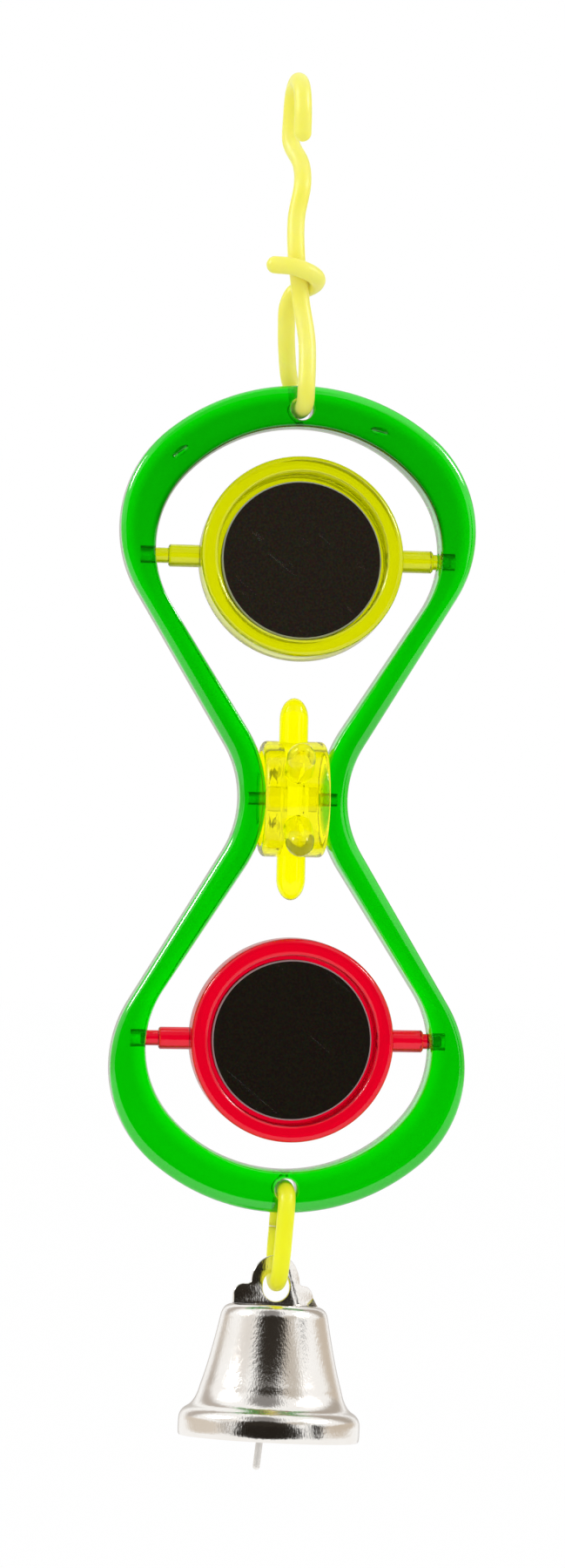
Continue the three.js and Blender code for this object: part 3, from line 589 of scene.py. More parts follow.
mirror_glass = mirror_finish()
for level, (_, turn, move) in holders.items():
    for side, way in (("front", -1), ("back", 1)):
        edge, face, bevel = MIRROR_DIAMETER / 2, MIRROR_THICKNESS, MIRROR_BEVEL
        profile = [(0, 0), (edge, 0), (edge, face - bevel), (edge - bevel, face), (0, face)]
        disc = turned(f"{level}_mirror_{side}_disc", profile, MIRROR_SIDES)
        rim = disc.attributes.new("ground_rim", "FLOAT", "FACE")
        for polygon in disc.polygons:
            rim.data[polygon.index].value = 0.0 if abs(polygon.normal.z) > FLAT else 1.0
        drop = MIRROR_FIT - MIRROR_REST if level == "upper" else 0
        bed = shift(0, way * (LEDGE_THICKNESS / 2 + MIRROR_BED), -drop)
        piece = as_object(disc.name, placed(disc, tilt(-way * 90, "X"), bed, turn, move))
        smooth(piece)
        dress(piece, f"{level}_mirror", "mirror_glass", mirror_glass, f"{level}_mirror_{side}")


# The wheel at the waist: one clear yellow moulding, a dished rim with six bullet pegs round it. Its
# hub's pins turn in the waist's sockets, so that a bird can spin it with its beak.
WHEEL_DIAMETER, WHEEL_WALL, WHEEL_WEB = 0.0166, 0.0014, 0.0030
WHEEL_EDGE, WHEEL_GAP = 0.0008, 0.00036
HUB_DIAMETER, HUB_GAP = 0.0036, 0.0004
PEG_COUNT, PEG_DIAMETER, PEG_SWEEP, PEG_DOME = 6, 0.00415, 0.0290, 0.0031
WHEEL_SIDES, PEG_SIDES, DOME_STEPS = 128, 48, 12


def wheel_profile():
    radius, web, hub = WHEEL_DIAMETER / 2, WHEEL_WEB / 2, HUB_DIAMETER / 2
    pin, rim_inside = WHEEL_PIN_DIAMETER / 2, radius - WHEEL_WALL
    inner_waist = WAIST_RADIUS + WAIST_BAR
    beside = sqrt(rim_inside**2 - (frame_depth / 2) ** 2)
    rim = WAIST_GAP / 2 + inner_waist - sqrt(inner_waist**2 - beside**2) - WHEEL_GAP
    hub_half, tip = WAIST_GAP / 2 - HUB_GAP, WAIST_GAP / 2 + WHEEL_PIN_REACH
    half = [(0, tip), (pin, tip), (pin, hub_half), (hub, hub_half), (hub, web), (rim_inside, web)]
    half += [(rim_inside, rim)]
    half += arc(radius - WHEEL_EDGE, rim - WHEEL_EDGE, WHEEL_EDGE, pi / 2, 0, steps=8)
    return mirrored(half)


def peg_mesh():
    radius, root = PEG_DIAMETER / 2, WHEEL_DIAMETER / 2 - WHEEL_WALL / 2
    start = PEG_SWEEP / 2 - PEG_DOME
    turns = [pi / 2 * i / DOME_STEPS for i in range(DOME_STEPS)]
    dome = [(radius * cos(t), start + PEG_DOME * sin(t)) for t in turns]
    return turned("peg", [(0, root), (radius, root), *dome, (0, start + PEG_DOME)], PEG_SIDES)


def shaped(piece, tree, sockets, values):
    """Runs a geometry tree on a piece, and keeps what it makes as a plain mesh."""
    step = piece.modifiers.new(tree.name, "NODES")
    step.node_group = tree
    for label, value in values.items():
        step[sockets[label].identifier] = value
    return plain(piece)


def peg_tree():
    """Sets copies of a peg round a wheel, and joins them to it as one moulding."""
    inputs = {"Wheel": "Geometry", "Peg": "Object", "Peg Count": "Int", "Finish": "Material"}
    outputs = {"Moulding": "Geometry"}
    tree, sockets, given, end = new_group("pegs_round_wheel", "GeometryNodeTree", inputs, outputs)
    peg = add_node(tree, "GeometryNodeObjectInfo", "Geometry", Object=given["Peg"])
    points = add_node(tree, "GeometryNodePoints", "Points", Count=given["Peg Count"])
    index = add_node(tree, "GeometryNodeInputIndex", "Index")
    turn = maths(tree, "MULTIPLY", index, maths(tree, "DIVIDE", 2 * pi, given["Peg Count"]))
    turn = add_node(tree, "CombineXYZ", "Vector", X=turn)
    turn = add_node(tree, "FunctionNodeEulerToRotation", "Rotation", Euler=turn)
    pegs = {"Points": points, "Instance": peg, "Rotation": turn}
    pegs = add_node(tree, "GeometryNodeInstanceOnPoints", "Instances", **pegs)
    pegs = add_node(tree, "GeometryNodeRealizeInstances", "Geometry", Geometry=pegs)
    join = add_node(tree, "GeometryNodeMeshBoolean", operation="UNION", solver="MANIFOLD")
    for part in (given["Wheel"], pegs):
        tree.links.new(part, join.inputs["Mesh 2"])
    whole = {"Geometry": join.outputs["Mesh"], "Material": given["Finish"]}
    feed(tree, end, Moulding=add_node(tree, "GeometryNodeSetMaterial", "Geometry", **whole))
    return tree, sockets


wheel_tones = (1, 0.97, 0.001), (1, 0.97, 0.001), (1, 1, 0.2), (0.4, 0.4, 0)
wheel_body = {"tint": (1, 0.998, 0), "density": 500, "through": 0.9, "ior": 1.15}
wheel_gloss = {"coat": 0.25, "waves": 420, "ripple": 0.2}
wheel_plastic = clear_plastic("wheel_clear_plastic", wheel_tones, **wheel_body, **wheel_gloss)
wheel_mesh = placed(turned("pegged_wheel", wheel_profile(), WHEEL_SIDES), ALONG_X)
wheel = as_object("pegged_wheel", wheel_mesh)
peg = as_object("peg", peg_mesh())
shaped(wheel, *peg_tree(), {"Peg": peg, "Peg Count": PEG_COUNT, "Finish": wheel_plastic})
bpy.data.objects.remove(peg)
placed(wheel.data, Matrix.Translation(waist))
smooth(wheel)
dress(wheel, "spinner", "yellow_clear_plastic", wheel_plastic, "spinner_wheel")


# The hanger: stiff drawn plastic wire, bent by hand. It goes through the frame's top hole, wraps
# once round its own stem, and ends above in an open hook for a cage bar.
WIRE_DIAMETER, WIRE_SIDES = 0.0025, 28
WIRE_BEND, WIRE_SLANT, WIRE_CLEARANCE, WIRE_LIFT = 0.0024, 0.00025, 0.0005, 0.0001
HANGER_REACH = 0.0458
HOOK_GAP, HOOK_LEG, HOOK_SHIFT, HOOK_TWIST, HOOK_STEPS = 0.0068, 0.0034, -0.00135, 0.0003, 4
NECK_X = -0.0004
WRAP_HEIGHT, WRAP_RISE, WRAP_GAP, WRAP_TAIL = 0.0183, 0.00265, 0.0001, 0.0027
WRAP_START, WRAP_END, WRAP_STEP, TAIL_RISE = 100, -110, 35, 0.1
STEM_X, STEM_Y, STEM_LEAN = -0.0008, -0.0015, 7
STEM_ABOVE, STEM_BELOW, STEM_BLEND = 0.0035, 0.0030, 0.0090
FRONT_SWAY = 0.0004
REAR_SIDE, REAR_INSET, REAR_JOIN, REAR_BEND = 0.0019, 0.0023, 0.0033, 0.0105
REAR_WAY = ((0.6, 0, 0), (0.87, 0.09, 0.38), (1, 0.48, 0.71), (1, 1, 1))  # aside, forwards, up
STRAND_Y = frame_depth / 2 + WIRE_DIAMETER / 2 + WIRE_CLEARANCE
ROUTE_STEPS, END_STEPS, END_TAPER = 10, 7, 0.02


def through_hole(up, aside):
    """Points of a wire through a hole, from the front strand to the rear one."""
    straight, slant = STRAND_Y - WIRE_BEND, WIRE_BEND * sqrt(0.5)
    front = [
        Vector((aside, -STRAND_Y, up * WIRE_BEND)),
        Vector((aside, -straight - slant, up * (WIRE_BEND - slant))),
        Vector((aside * straight / STRAND_Y, -straight, 0)),
    ]
    return front + [Vector((-p.x, -p.y, p.z)) for p in reversed(front)]


def stem_x(rise):
    """The leaning stem's place at a height from the middle of the wrap."""
    return STEM_X - rise * tan(radians(STEM_LEAN))


def hanger_points():
    """The hanger's route, from the hook's free end down to the tail on the wrap."""
    hook_radius = HOOK_GAP / 2 + WIRE_DIAMETER / 2
    hook_z = HANGER_REACH - HOOK_GAP / 2 - WIRE_LIFT
    points = [Vector((HOOK_SHIFT + HOOK_TWIST, -hook_radius, hook_z - HOOK_LEG))]
    for i in range(HOOK_STEPS + 1):
        turn = i * pi / HOOK_STEPS
        across, along = cos(turn), sin(turn)
        x = HOOK_SHIFT + HOOK_TWIST * across
        points.append(Vector((x, -hook_radius * across, hook_z + hook_radius * along)))
    stem = (
        (HOOK_SHIFT - HOOK_TWIST, hook_radius, hook_z - HOOK_LEG),
        (NECK_X, hook_radius / 2, hook_z - 2 * HOOK_LEG),
        (NECK_X, 0, hook_z - 3 * HOOK_LEG),
        (stem_x(STEM_ABOVE), STEM_Y / 3, WRAP_HEIGHT + STEM_BLEND),
        (stem_x(STEM_ABOVE), STEM_Y, WRAP_HEIGHT + STEM_ABOVE),
        (stem_x(0), STEM_Y, WRAP_HEIGHT),
        (stem_x(-STEM_BELOW), STEM_Y, WRAP_HEIGHT - STEM_BELOW),
        (FRONT_SWAY, STEM_Y / 2 - STRAND_Y / 2, WRAP_HEIGHT / 2),
    )
    points += [Vector(place) for place in stem] + through_hole(1, WIRE_SLANT)
    for side, inset, rise in REAR_WAY:
        z = WRAP_HEIGHT - REAR_JOIN - (1 - rise) * REAR_BEND
        points.append(Vector((-side * REAR_SIDE, STRAND_Y - inset * REAR_INSET, z)))
    radius = WIRE_DIAMETER + WRAP_GAP
    for i in range(int((WRAP_START - WRAP_END) / WRAP_STEP) + 1):
        degrees = WRAP_START - i * WRAP_STEP
        turn = radians(degrees)
        rise = -degrees * WRAP_RISE / 180
        x, y = stem_x(rise) + radius * cos(turn), STEM_Y + radius * sin(turn)
        points.append(Vector((x, y, WRAP_HEIGHT + rise)))
    last = radians(WRAP_END)
    points.append(points[-1] + Vector((sin(last), -cos(last), TAIL_RISE)) * WRAP_TAIL)
    return points


def blend(first, second, start, end, t):
    return first * ((end - t) / (end - start)) + second * ((t - start) / (end - start))


def smooth_route(points, steps):
    """A centripetal curve through points, with its ends carried straight on."""
    ends = [2 * points[0] - points[1], *points, 2 * points[-1] - points[-2]]
    route = []
    for p0, p1, p2, p3 in zip(ends, ends[1:], ends[2:], ends[3:]):
        t0 = 0.0
        t1 = t0 + sqrt((p1 - p0).length)
        t2 = t1 + sqrt((p2 - p1).length)
        t3 = t2 + sqrt((p3 - p2).length)
        for i in range(steps):
            t = t1 + (t2 - t1) * i / steps
            near = blend(p1, p2, t1, t2, t)
            before = blend(blend(p0, p1, t0, t1, t), near, t0, t2, t)
            after = blend(near, blend(p2, p3, t2, t3, t), t1, t3, t)
            route.append(blend(before, after, t1, t2, t))
    return route + [points[-1]]


def wire_tree():
    """A round wire along a line of points, thinner where the line's taper says so."""
    inputs = {"Route": "Geometry", "Wire Radius": "Float", "Sides": "Int", "Finish": "Material"}
    outputs = {"Wire": "Geometry"}
    tree, sockets, given, end = new_group("formed_wire", "GeometryNodeTree", inputs, outputs)
    line = add_node(tree, "GeometryNodeMeshToCurve", "Curve", Mesh=given["Route"])
    section = {"Resolution": given["Sides"], "Radius": given["Wire Radius"]}
    section = add_node(tree, "GeometryNodeCurvePrimitiveCircle", "Curve", **section)
    taper = {"data_type": "FLOAT", "Name": "taper"}
    taper = add_node(tree, "GeometryNodeInputNamedAttribute", "Attribute", **taper)
    sweep = {"Curve": line, "Profile_Curve": section, "Scale": taper, "Fill_Caps": True}
    wire = add_node(tree, "GeometryNodeCurveToMesh", "Mesh", **sweep)
    wire = add_node(tree, "GeometryNodeRealizeInstances", "Geometry", Geometry=wire)
    wire = {"Geometry": wire, "Material": given["Finish"]}
    feed(tree, end, Wire=add_node(tree, "GeometryNodeSetMaterial", "Geometry", **wire))
    return tree, sockets


wire_nodes = wire_tree()


def rounded_end(point, beyond, radius):
    """Points and tapers of a round end that a wire's route is carried on with."""
    ahead = (point - beyond).normalized()
    turns = [pi / 2 * i / END_STEPS for i in range(1, END_STEPS + 1)]
    return [(point + ahead * (radius * sin(t)), max(cos(t), END_TAPER)) for t in turns]


def formed_wire(
    name, route, finish, place, rounded="", diameter=WIRE_DIAMETER, sides=WIRE_SIDES, thin=1.0
):
    """A wire along a route, as one plain closed mesh. Its start and end are round where the call
    says so, and cut where not. It may end thinner."""
    radius = diameter / 2
    line = [(point, 1 + (thin - 1) * i / (len(route) - 1)) for i, point in enumerate(route)]
    if "start" in rounded:
        line = list(reversed(rounded_end(route[0], route[1], radius))) + line
    if "end" in rounded:
        tip = rounded_end(route[-1], route[-2], radius * thin)
        line = line + [(point, share * thin) for point, share in tip]
    mesh = bpy.data.meshes.new(name)
    mesh.from_pydata([point for point, _ in line], [(i, i + 1) for i in range(len(line) - 1)], [])
    taper = mesh.attributes.new("taper", "FLOAT", "POINT")
    taper.data.foreach_set("value", [share for _, share in line])
    wire = as_object(name, mesh)
    shaped(wire, *wire_nodes, {"Wire Radius": radius, "Sides": sides, "Finish": finish})
    placed(wire.data, place)
    return smooth(wire, degrees=50)


def wire_finish(name, clear, cloudy, tint):
    """Cloudy yellow plastic: light goes softly through it, and its tint deepens with thickness."""
    material, tree, shader = new_finish(name)
    place = add_node(tree, "TexCoord", "Object")
    cloud = add_node(tree, "TexNoise", "Fac", Vector=place, Scale=160, Detail=3)
    tint_depth(tree, tint, density=200)
    face = add_node(tree, "Group", node_tree=moulded, Wave_Scale=420, Hairlines=0.5).outputs
    lines, height = face["Hairlines"], face["Height"]
    surface_of(tree, shader, lines, (0.35, 0.55), height, strength=0.2, distance=0.0002)
    tone = mixed(tree, cloud, clear, cloudy)
    feed(tree, shader, Base_Color=tone, IOR=1.4, Transmission_Weight=0.12)
    feed(tree, shader, Subsurface_Weight=1, Subsurface_Radius=(1, 0.9, 0.3), Subsurface_Scale=0.002)
    return material


wire_plastic = wire_finish("yellow_wire_plastic", (1, 0.85, 0.06), (1, 0.90, 0.28), (1, 0.98, 0.2))
joints = {joint["name"]: Vector(joint["pos_m"]) for joint in frame["joints"]}
hanger_place = Matrix.Translation(joints["frame_swing"])
hanger_route = smooth_route(hanger_points(), ROUTE_STEPS)
hanger = formed_wire("wire_hanger", hanger_route, wire_plastic, hanger_place, "start and end")
dress(hanger, "hanger", "yellow_wire_plastic", wire_plastic, "hanger")


# The bell's link: the same wire, formed into a loop from the frame's bottom hole to the bell's eye.
# Its two cut ends meet behind.
LINK_DROP, LINK_EYE_RADIUS = 0.0134, 0.0042
LINK_BUTT, LINK_LEAN = 0.00015, 3.8


def link_points():
    eye_z = LINK_EYE_RADIUS - LINK_DROP
    slant = LINK_EYE_RADIUS * sqrt(0.5)
    seam_z, seam_y = (eye_z - WIRE_BEND) / 2, (STRAND_Y + LINK_EYE_RADIUS) / 2
    round_eye = [
        (seam_y, seam_z - LINK_BUTT / 2),
        (LINK_EYE_RADIUS, eye_z),
        (slant, eye_z - slant),
        (0, -LINK_DROP),
        (-slant, eye_z - slant),
        (-LINK_EYE_RADIUS, eye_z),
        (-seam_y, seam_z),
    ]
    last = Vector((0, seam_y, seam_z + LINK_BUTT / 2))
    return [Vector((0, y, z)) for y, z in round_eye] + through_hole(-1, 0) + [last]


link_plastic = wire_finish(
    "deep_yellow_wire_plastic", (1, 0.92, 0.004), (1, 0.94, 0.03), (1, 0.99, 0.1)
)
link_turn = tilt(LINK_LEAN, "Y")
link_place = Matrix.Translation(joints["link_swing"]) @ link_turn
link_route = smooth_route(link_points(), ROUTE_STEPS)
bell_link = formed_wire("wire_bell_link", link_route, link_plastic, link_place)
dress(bell_link, "link", "yellow_wire_plastic", link_plastic, "bell_link")


# The bell: a shell drawn from thin steel and plated with bright nickel, with a rolled-out lip. The
# plating follows the fine grain of the drawn sheet.
BELL_HEIGHT, BELL_MOUTH, BELL_SHOULDER = 0.0190, 0.0260, 0.0155
BELL_SHOULDER_ROUND, BELL_WALL, BELL_SIDES = 0.0019, 0.0005, 160
LIP_HEIGHT, FLARE_HEIGHT, FLARE_WIDTH = 0.0022, 0.0074, 0.0029
LIP_ROLL = (0.0003, 0.0011)  # how far the lip's lower edge is rolled in, and over what height
KNEE = 0.38  # share of the flare that is round, before it turns hollow
FLARE_CORNER, BODY_CORNER, ROUND_CORNER = (0.2, 0.12), (0.45, 0.33), 0.15
LIP_STEPS, KNEE_STEPS, WALL_STEPS, TOP_STEPS = 5, 8, 14, 12
BELL_LEAN, BELL_PITCH = 2.5, -6
EYE_DIAMETER, EYE_HEIGHT, EYE_REST = 0.0039, 0.0029, 0.0004
CROWN_THICKNESS, TONGUE_WIDTH, TONGUE_FIT = 0.0006, 0.0052, 0.0003
BELL_TOP = WIRE_DIAMETER / 2 + EYE_REST - EYE_DIAMETER / 2 - EYE_HEIGHT
GRAIN_STRETCH, GRAIN_SCALE, STAIN_SCALE = (1, 1, 0.35), 4200, 240
NICKEL, STAINED_NICKEL = (0.93, 0.91, 0.88), (0.86, 0.82, 0.77)


def bow(start, corner, end, steps):
    """A curve from start to end that leans towards its corner."""
    points = []
    for i in range(1, steps + 1):
        t = i / steps
        first, middle, last = (1 - t) ** 2, 2 * t * (1 - t), t * t
        x, z = (first * a + middle * b + last * c for a, b, c in zip(start, corner, end))
        points.append((x, z))
    return points


def bell_outside():
    """Radius and height of the bell's outside, from the mouth up to the middle of the top."""
    mouth, shoulder = BELL_MOUTH / 2, BELL_SHOULDER / 2
    foot, rise = mouth - FLARE_WIDTH, FLARE_HEIGHT - LIP_HEIGHT
    knee = (mouth - KNEE * FLARE_WIDTH, LIP_HEIGHT + KNEE * rise)
    body_top = BELL_HEIGHT - BELL_SHOULDER_ROUND
    wall = [(mouth - LIP_ROLL[0], 0)]
    wall += bow(wall[0], (mouth, 0), (mouth, LIP_ROLL[1]), LIP_STEPS) + [(mouth, LIP_HEIGHT)]
    wall += bow(wall[-1], (mouth, knee[1] - FLARE_CORNER[1] * rise), knee, KNEE_STEPS)
    hollow = (foot + FLARE_CORNER[0] * FLARE_WIDTH, knee[1] + FLARE_CORNER[1] * rise)
    wall += bow(knee, hollow, (foot, FLARE_HEIGHT), WALL_STEPS)
    body_x = foot + BODY_CORNER[0] * (shoulder - foot)
    body_z = FLARE_HEIGHT + BODY_CORNER[1] * (body_top - FLARE_HEIGHT)
    wall += bow(wall[-1], (body_x, body_z), (shoulder, body_top), WALL_STEPS)
    rounding = (shoulder - ROUND_CORNER * BELL_SHOULDER_ROUND, BELL_HEIGHT)
    return wall + bow(wall[-1], rounding, (shoulder - BELL_SHOULDER_ROUND, BELL_HEIGHT), TOP_STEPS)


def bell_profile():
    outside = bell_outside()
    inside = []
    for i, (radius, height) in enumerate(outside):
        before, after = outside[max(i - 1, 0)], outside[min(i + 1, len(outside) - 1)]
        along = Vector((after[0] - before[0], after[1] - before[1])).normalized()
        inside.append((radius - along.y * BELL_WALL, max(height + along.x * BELL_WALL, 0)))
    return outside + [(0, BELL_HEIGHT), (0, BELL_HEIGHT - BELL_WALL)] + list(reversed(inside))


def nickel_finish(name, dullest, metal):
    """Bright plating over sheet with an upright grain, slightly stained in places."""
    material, tree, shader = new_finish(name)
    place = add_node(tree, "TexCoord", "Object")
    upright = add_node(tree, "Mapping", "Vector", Vector=place, Scale=GRAIN_STRETCH)
    grain = add_node(tree, "TexNoise", "Fac", Vector=upright, Scale=GRAIN_SCALE, Detail=4)
    stain = add_node(tree, "TexNoise", "Fac", Vector=place, Scale=STAIN_SCALE)
    surface_of(tree, shader, grain, (dullest / 2, dullest), grain, strength=0.28, distance=0.0001)
    feed(tree, shader, Base_Color=mixed(tree, stain, STAINED_NICKEL, NICKEL), Metallic=metal)
    return material


nickel = nickel_finish("nickel_plated_steel", dullest=0.15, metal=1)
bell_place = Matrix.Translation(joints["bell_swing"]) @ link_turn @ tilt(BELL_PITCH, "X")
bell_place = bell_place @ tilt(BELL_LEAN - LINK_LEAN, "Y")
bell = as_object("bell_body", turned("bell_body", bell_profile(), BELL_SIDES, closed=True))
slot_tool = bmesh.new()
bmesh.ops.create_cube(slot_tool, size=1)
slot_mesh = bpy.data.meshes.new("slot")
slot_tool.to_mesh(slot_mesh)
slot_tool.free()
slot_size = (TONGUE_WIDTH + 2 * TONGUE_FIT, CROWN_THICKNESS + 2 * TONGUE_FIT, 4 * BELL_WALL)
placed(slot_mesh, Matrix.Diagonal((*slot_size, 1)), shift(0, 0, BELL_HEIGHT))
combine(bell, "DIFFERENCE", [slot_mesh])
placed(bell.data, shift(0, 0, BELL_TOP - BELL_HEIGHT), bell_place)
smooth(bell)
dress(bell, "bell", "nickel_plated_steel", nickel, "bell_shell")


# The bell's crown: stamped from plated sheet. Its arch has the eye for the link, two rounded feet
# stand on the shell, and a neck goes through the shell to a tongue that holds the clapper.
CROWN_WIDTH, CROWN_ARCH, CROWN_FOOT, CROWN_FOOT_ROUND = 0.0121, 0.0070, 0.0028, 0.0015
BARB_REACH, BARB_HEIGHT, CROWN_SEAT = 0.0010, 0.0011, 0.00015
TONGUE_DROP, TONGUE_ROUND, CLAPPER_HOLE = 0.0029, 0.0019, 0.0022
CROWN_EDGE, CROWN_FILLET = 0.00012, 0.0007
EYE_DROP, EYE_STEPS = 0.00045, 24  # the worn eye is this much taller than wide
CROWN_TWIST = 4  # degrees that the arch is turned on its neck
CROWN_FOLD, FOLD_WIDTH, FOLD_STEPS = 32, 0.0010, 6  # degrees that its right half is bent back
FOLD_FOOT, FOLD_HEAD = Vector((0.0026, 0, 0.00015)), Vector((0.0003, 0, 0.0070))


def crown_outline():
    half_arch, half_width, neck = CROWN_ARCH / 2, CROWN_WIDTH / 2, TONGUE_WIDTH / 2
    barb = neck + TONGUE_FIT + BARB_REACH
    barb_top = -BELL_WALL - CROWN_SEAT
    rounding, fillet = CROWN_FOOT_ROUND, CROWN_FILLET
    half = [(neck, CROWN_SEAT), (half_width, CROWN_SEAT)]
    half += arc(half_width - rounding, CROWN_FOOT - rounding, rounding, 0, pi / 2, steps=10)
    half += arc(half_arch + fillet, CROWN_FOOT + fillet, fillet, 1.5 * pi, pi, steps=8)
    half += arc(0, CROWN_ARCH - half_arch, half_arch, 0, pi / 2, steps=20)[1:]
    lower = [(neck, barb_top), (barb, barb_top), (barb, barb_top - BARB_HEIGHT / 2)]
    lower += [(neck, barb_top - BARB_HEIGHT)]
    lower += arc(0, -TONGUE_DROP, TONGUE_ROUND, 0, -pi / 2, steps=14)
    right = list(reversed(lower)) + half
    return right + [(-x, z) for x, z in reversed(right[1:-1])]


def plate(name, rings, thickness):
    """A flat plate in the XZ plane with slightly rounded edges, cut from an outline and holes."""
    curve = bpy.data.curves.new(name, "CURVE")
    curve.dimensions = "2D"
    curve.fill_mode = "BOTH"
    curve.extrude = thickness / 2 - CROWN_EDGE
    curve.bevel_depth = CROWN_EDGE
    curve.bevel_resolution = 2
    for ring in rings:
        spline = curve.splines.new("POLY")
        spline.points.add(len(ring) - 1)
        for point, (x, z) in zip(spline.points, ring):
            point.co = (x, z, 0, 1)
        spline.use_cyclic_u = True
    flat = as_object(name, curve)
    graph = bpy.context.evaluated_depsgraph_get()
    mesh = bpy.data.meshes.new_from_object(flat.evaluated_get(graph))
    bpy.data.objects.remove(flat)
    whole = as_object(name, placed(mesh, tilt(90, "X")))
    whole.modifiers.new("weld", "WELD").merge_threshold = 1e-6
    return plain(whole)


def fold(mesh):
    """Bends the crown's right half back along a slanting line, and turns the arch on its neck."""
    along = (FOLD_HEAD - FOLD_FOOT).normalized()
    aside, back = Vector((along.z, 0, -along.x)), Vector((0, 1, 0))
    work = bmesh.new()
    work.from_mesh(mesh)
    for i in range(FOLD_STEPS + 1):
        parts = work.verts[:] + work.edges[:] + work.faces[:]
        crease = FOLD_FOOT + aside * (FOLD_WIDTH * i / FOLD_STEPS)
        bmesh.ops.bisect_plane(work, geom=parts, plane_co=crease, plane_no=aside)
    angle = radians(CROWN_FOLD)
    radius = FOLD_WIDTH / angle
    for vertex in work.verts:
        if vertex.co.z < CROWN_SEAT - TOUCH:
            continue
        reach = (vertex.co - FOLD_FOOT).dot(aside)
        if reach > 0:
            bent = angle * min(reach / FOLD_WIDTH, 1)
            past = max(reach - FOLD_WIDTH, 0)
            depth = vertex.co.y
            base = vertex.co - aside * reach - back * depth
            across = radius * sin(bent) + past * cos(bent) - depth * sin(bent)
            inwards = radius * (1 - cos(bent)) + past * sin(bent) + depth * cos(bent)
            vertex.co = base + aside * across + back * inwards
        vertex.co.rotate(Matrix.Rotation(radians(CROWN_TWIST), 3, "Z"))
    work.to_mesh(mesh)
    work.free()


# the rounded edge narrows a hole, so both are drawn wider by it
eye_side = EYE_DIAMETER / 2 + CROWN_EDGE
eye_hole = arc(0, EYE_HEIGHT, eye_side, 0, pi, EYE_STEPS)
eye_hole += [(x, z - EYE_DROP) for x, z in arc(0, EYE_HEIGHT, eye_side, pi, 2 * pi, EYE_STEPS)]
clapper_hole = arc(0, -TONGUE_DROP, CLAPPER_HOLE / 2 + CROWN_EDGE, 0, 2 * pi, steps=40)[:-1]
crown = plate("bell_crown_plate", (crown_outline(), eye_hole, clapper_hole), CROWN_THICKNESS)
fold(crown.data)
placed(crown.data, shift(0, 0, BELL_TOP), bell_place)
smooth(crown, degrees=40)
dress(crown, "bell", "nickel_plated_steel", nickel, "bell_crown")


# The clapper: a plated steel wire with an open eye in the crown's tongue and a blunt round end that
# shows below the bell's mouth.
CLAPPER_DIAMETER, CLAPPER_LOOP, CLAPPER_NECK = 0.0012, 0.0016, 0.0051
CLAPPER_SHOW, CLAPPER_LEAN, CLAPPER_THIN = 0.0046, 4.3, 0.85
CLAPPER_EYE = (-20, 195, 6)  # degrees from, degrees to, and steps
CLAPPER_SIDES, CLAPPER_STEPS = 20, 8
clapper_z = -(joints["clapper_swing"] - joints["bell_swing"]).length


def clapper_points():
    tip = BELL_TOP - BELL_HEIGHT - CLAPPER_SHOW - clapper_z
    first, last, steps = CLAPPER_EYE
    points = []
    for i in range(steps + 1):
        turn = radians(first + (last - first) * i / steps)
        points.append((CLAPPER_LOOP * cos(turn), CLAPPER_LOOP * (sin(turn) - 1)))
    points += [(-CLAPPER_LOOP / 2, CLAPPER_LOOP - CLAPPER_NECK), (0, -CLAPPER_NECK)]
    points += [(0, (tip - CLAPPER_NECK) / 2), (0, tip + CLAPPER_DIAMETER / 2)]
    return [Vector((0, y, z)) for y, z in points]


dull_steel = nickel_finish("dull_plated_wire", dullest=0.6, metal=0.25)
clapper_place = bell_place @ shift(0, 0, clapper_z) @ tilt(CLAPPER_LEAN, "Y")
clapper_route = smooth_route(clapper_points(), CLAPPER_STEPS)
clapper_size = {"diameter": CLAPPER_DIAMETER, "sides": CLAPPER_SIDES, "thin": CLAPPER_THIN}
clapper = formed_wire(
    "bell_clapper", clapper_route, dull_steel, clapper_place, rounded="end", **clapper_size
)
dress(clapper, "clapper", "nickel_plated_steel", dull_steel, "clapper")


# The studio: a pale floor below the hanging toy, a white surround, two soft lamps, and round the
# toy dark and grey cards and bright windows that only its mirrors, metal and gloss show.
FLOOR_Z, FLOOR_SIZE, FLOOR_WHITE = -0.45, 12, 0.97
DAYLIGHT = 1.0
CEILING = 0.3  # brightness of the ceiling, as clear plastic shows it
CEILING_FROM, CEILING_TO = 0.68, 0.80  # shares of the way up, from wall to ceiling
CARD_DISTANCE, CARD_STEP = 1.1, 0.01
CARD_RINGS, CARD_SIDES = 12, 64
CAMERA_AZIMUTH = -6.5
SOFTBOX_SIZE, SOFTBOX_POWER = 0.20, 0.8


def seen_white(tree, elsewhere):
    """A strength that is 1 where the surround is seen, and another where it only lights."""
    paths = add_node(tree, "LightPath").outputs
    seen = paths["Is Camera Ray"]
    for kind in ("Is Glossy Ray", "Is Transmission Ray"):
        seen = maths(tree, "MAXIMUM", seen, paths[kind])
    return ranged(tree, seen, low=elsewhere)


def room_behind(tree):
    """A share of white that falls off towards the ceiling, for what is seen through the plastic."""
    place = add_node(tree, "TexCoord", "Object")
    height = add_node(tree, "SeparateXYZ", "Z", Vector=place)
    fade = add_node(tree, "FloatCurve", Value=ranged(tree, height, start=-1))
    curve = fade.mapping.curves[0]
    curve.points[0].location = (0, 1)
    curve.points[1].location = (1, CEILING)
    for spot in ((CEILING_FROM, 1), (CEILING_TO, CEILING)):
        curve.points.new(*spot)
    fade.mapping.update()
    through = add_node(tree, "LightPath", "Is Transmission Ray")
    return add_node(tree, "Mix", "Result", Factor=through, A=1, B=fade.outputs["Value"])


def show(tree, share, first, second):
    """Shows one shader or the other, by a share."""
    either = add_node(tree, "MixShader", "Shader", share, first, second)
    feed(tree, tree.nodes["Material Output"], Surface=either)


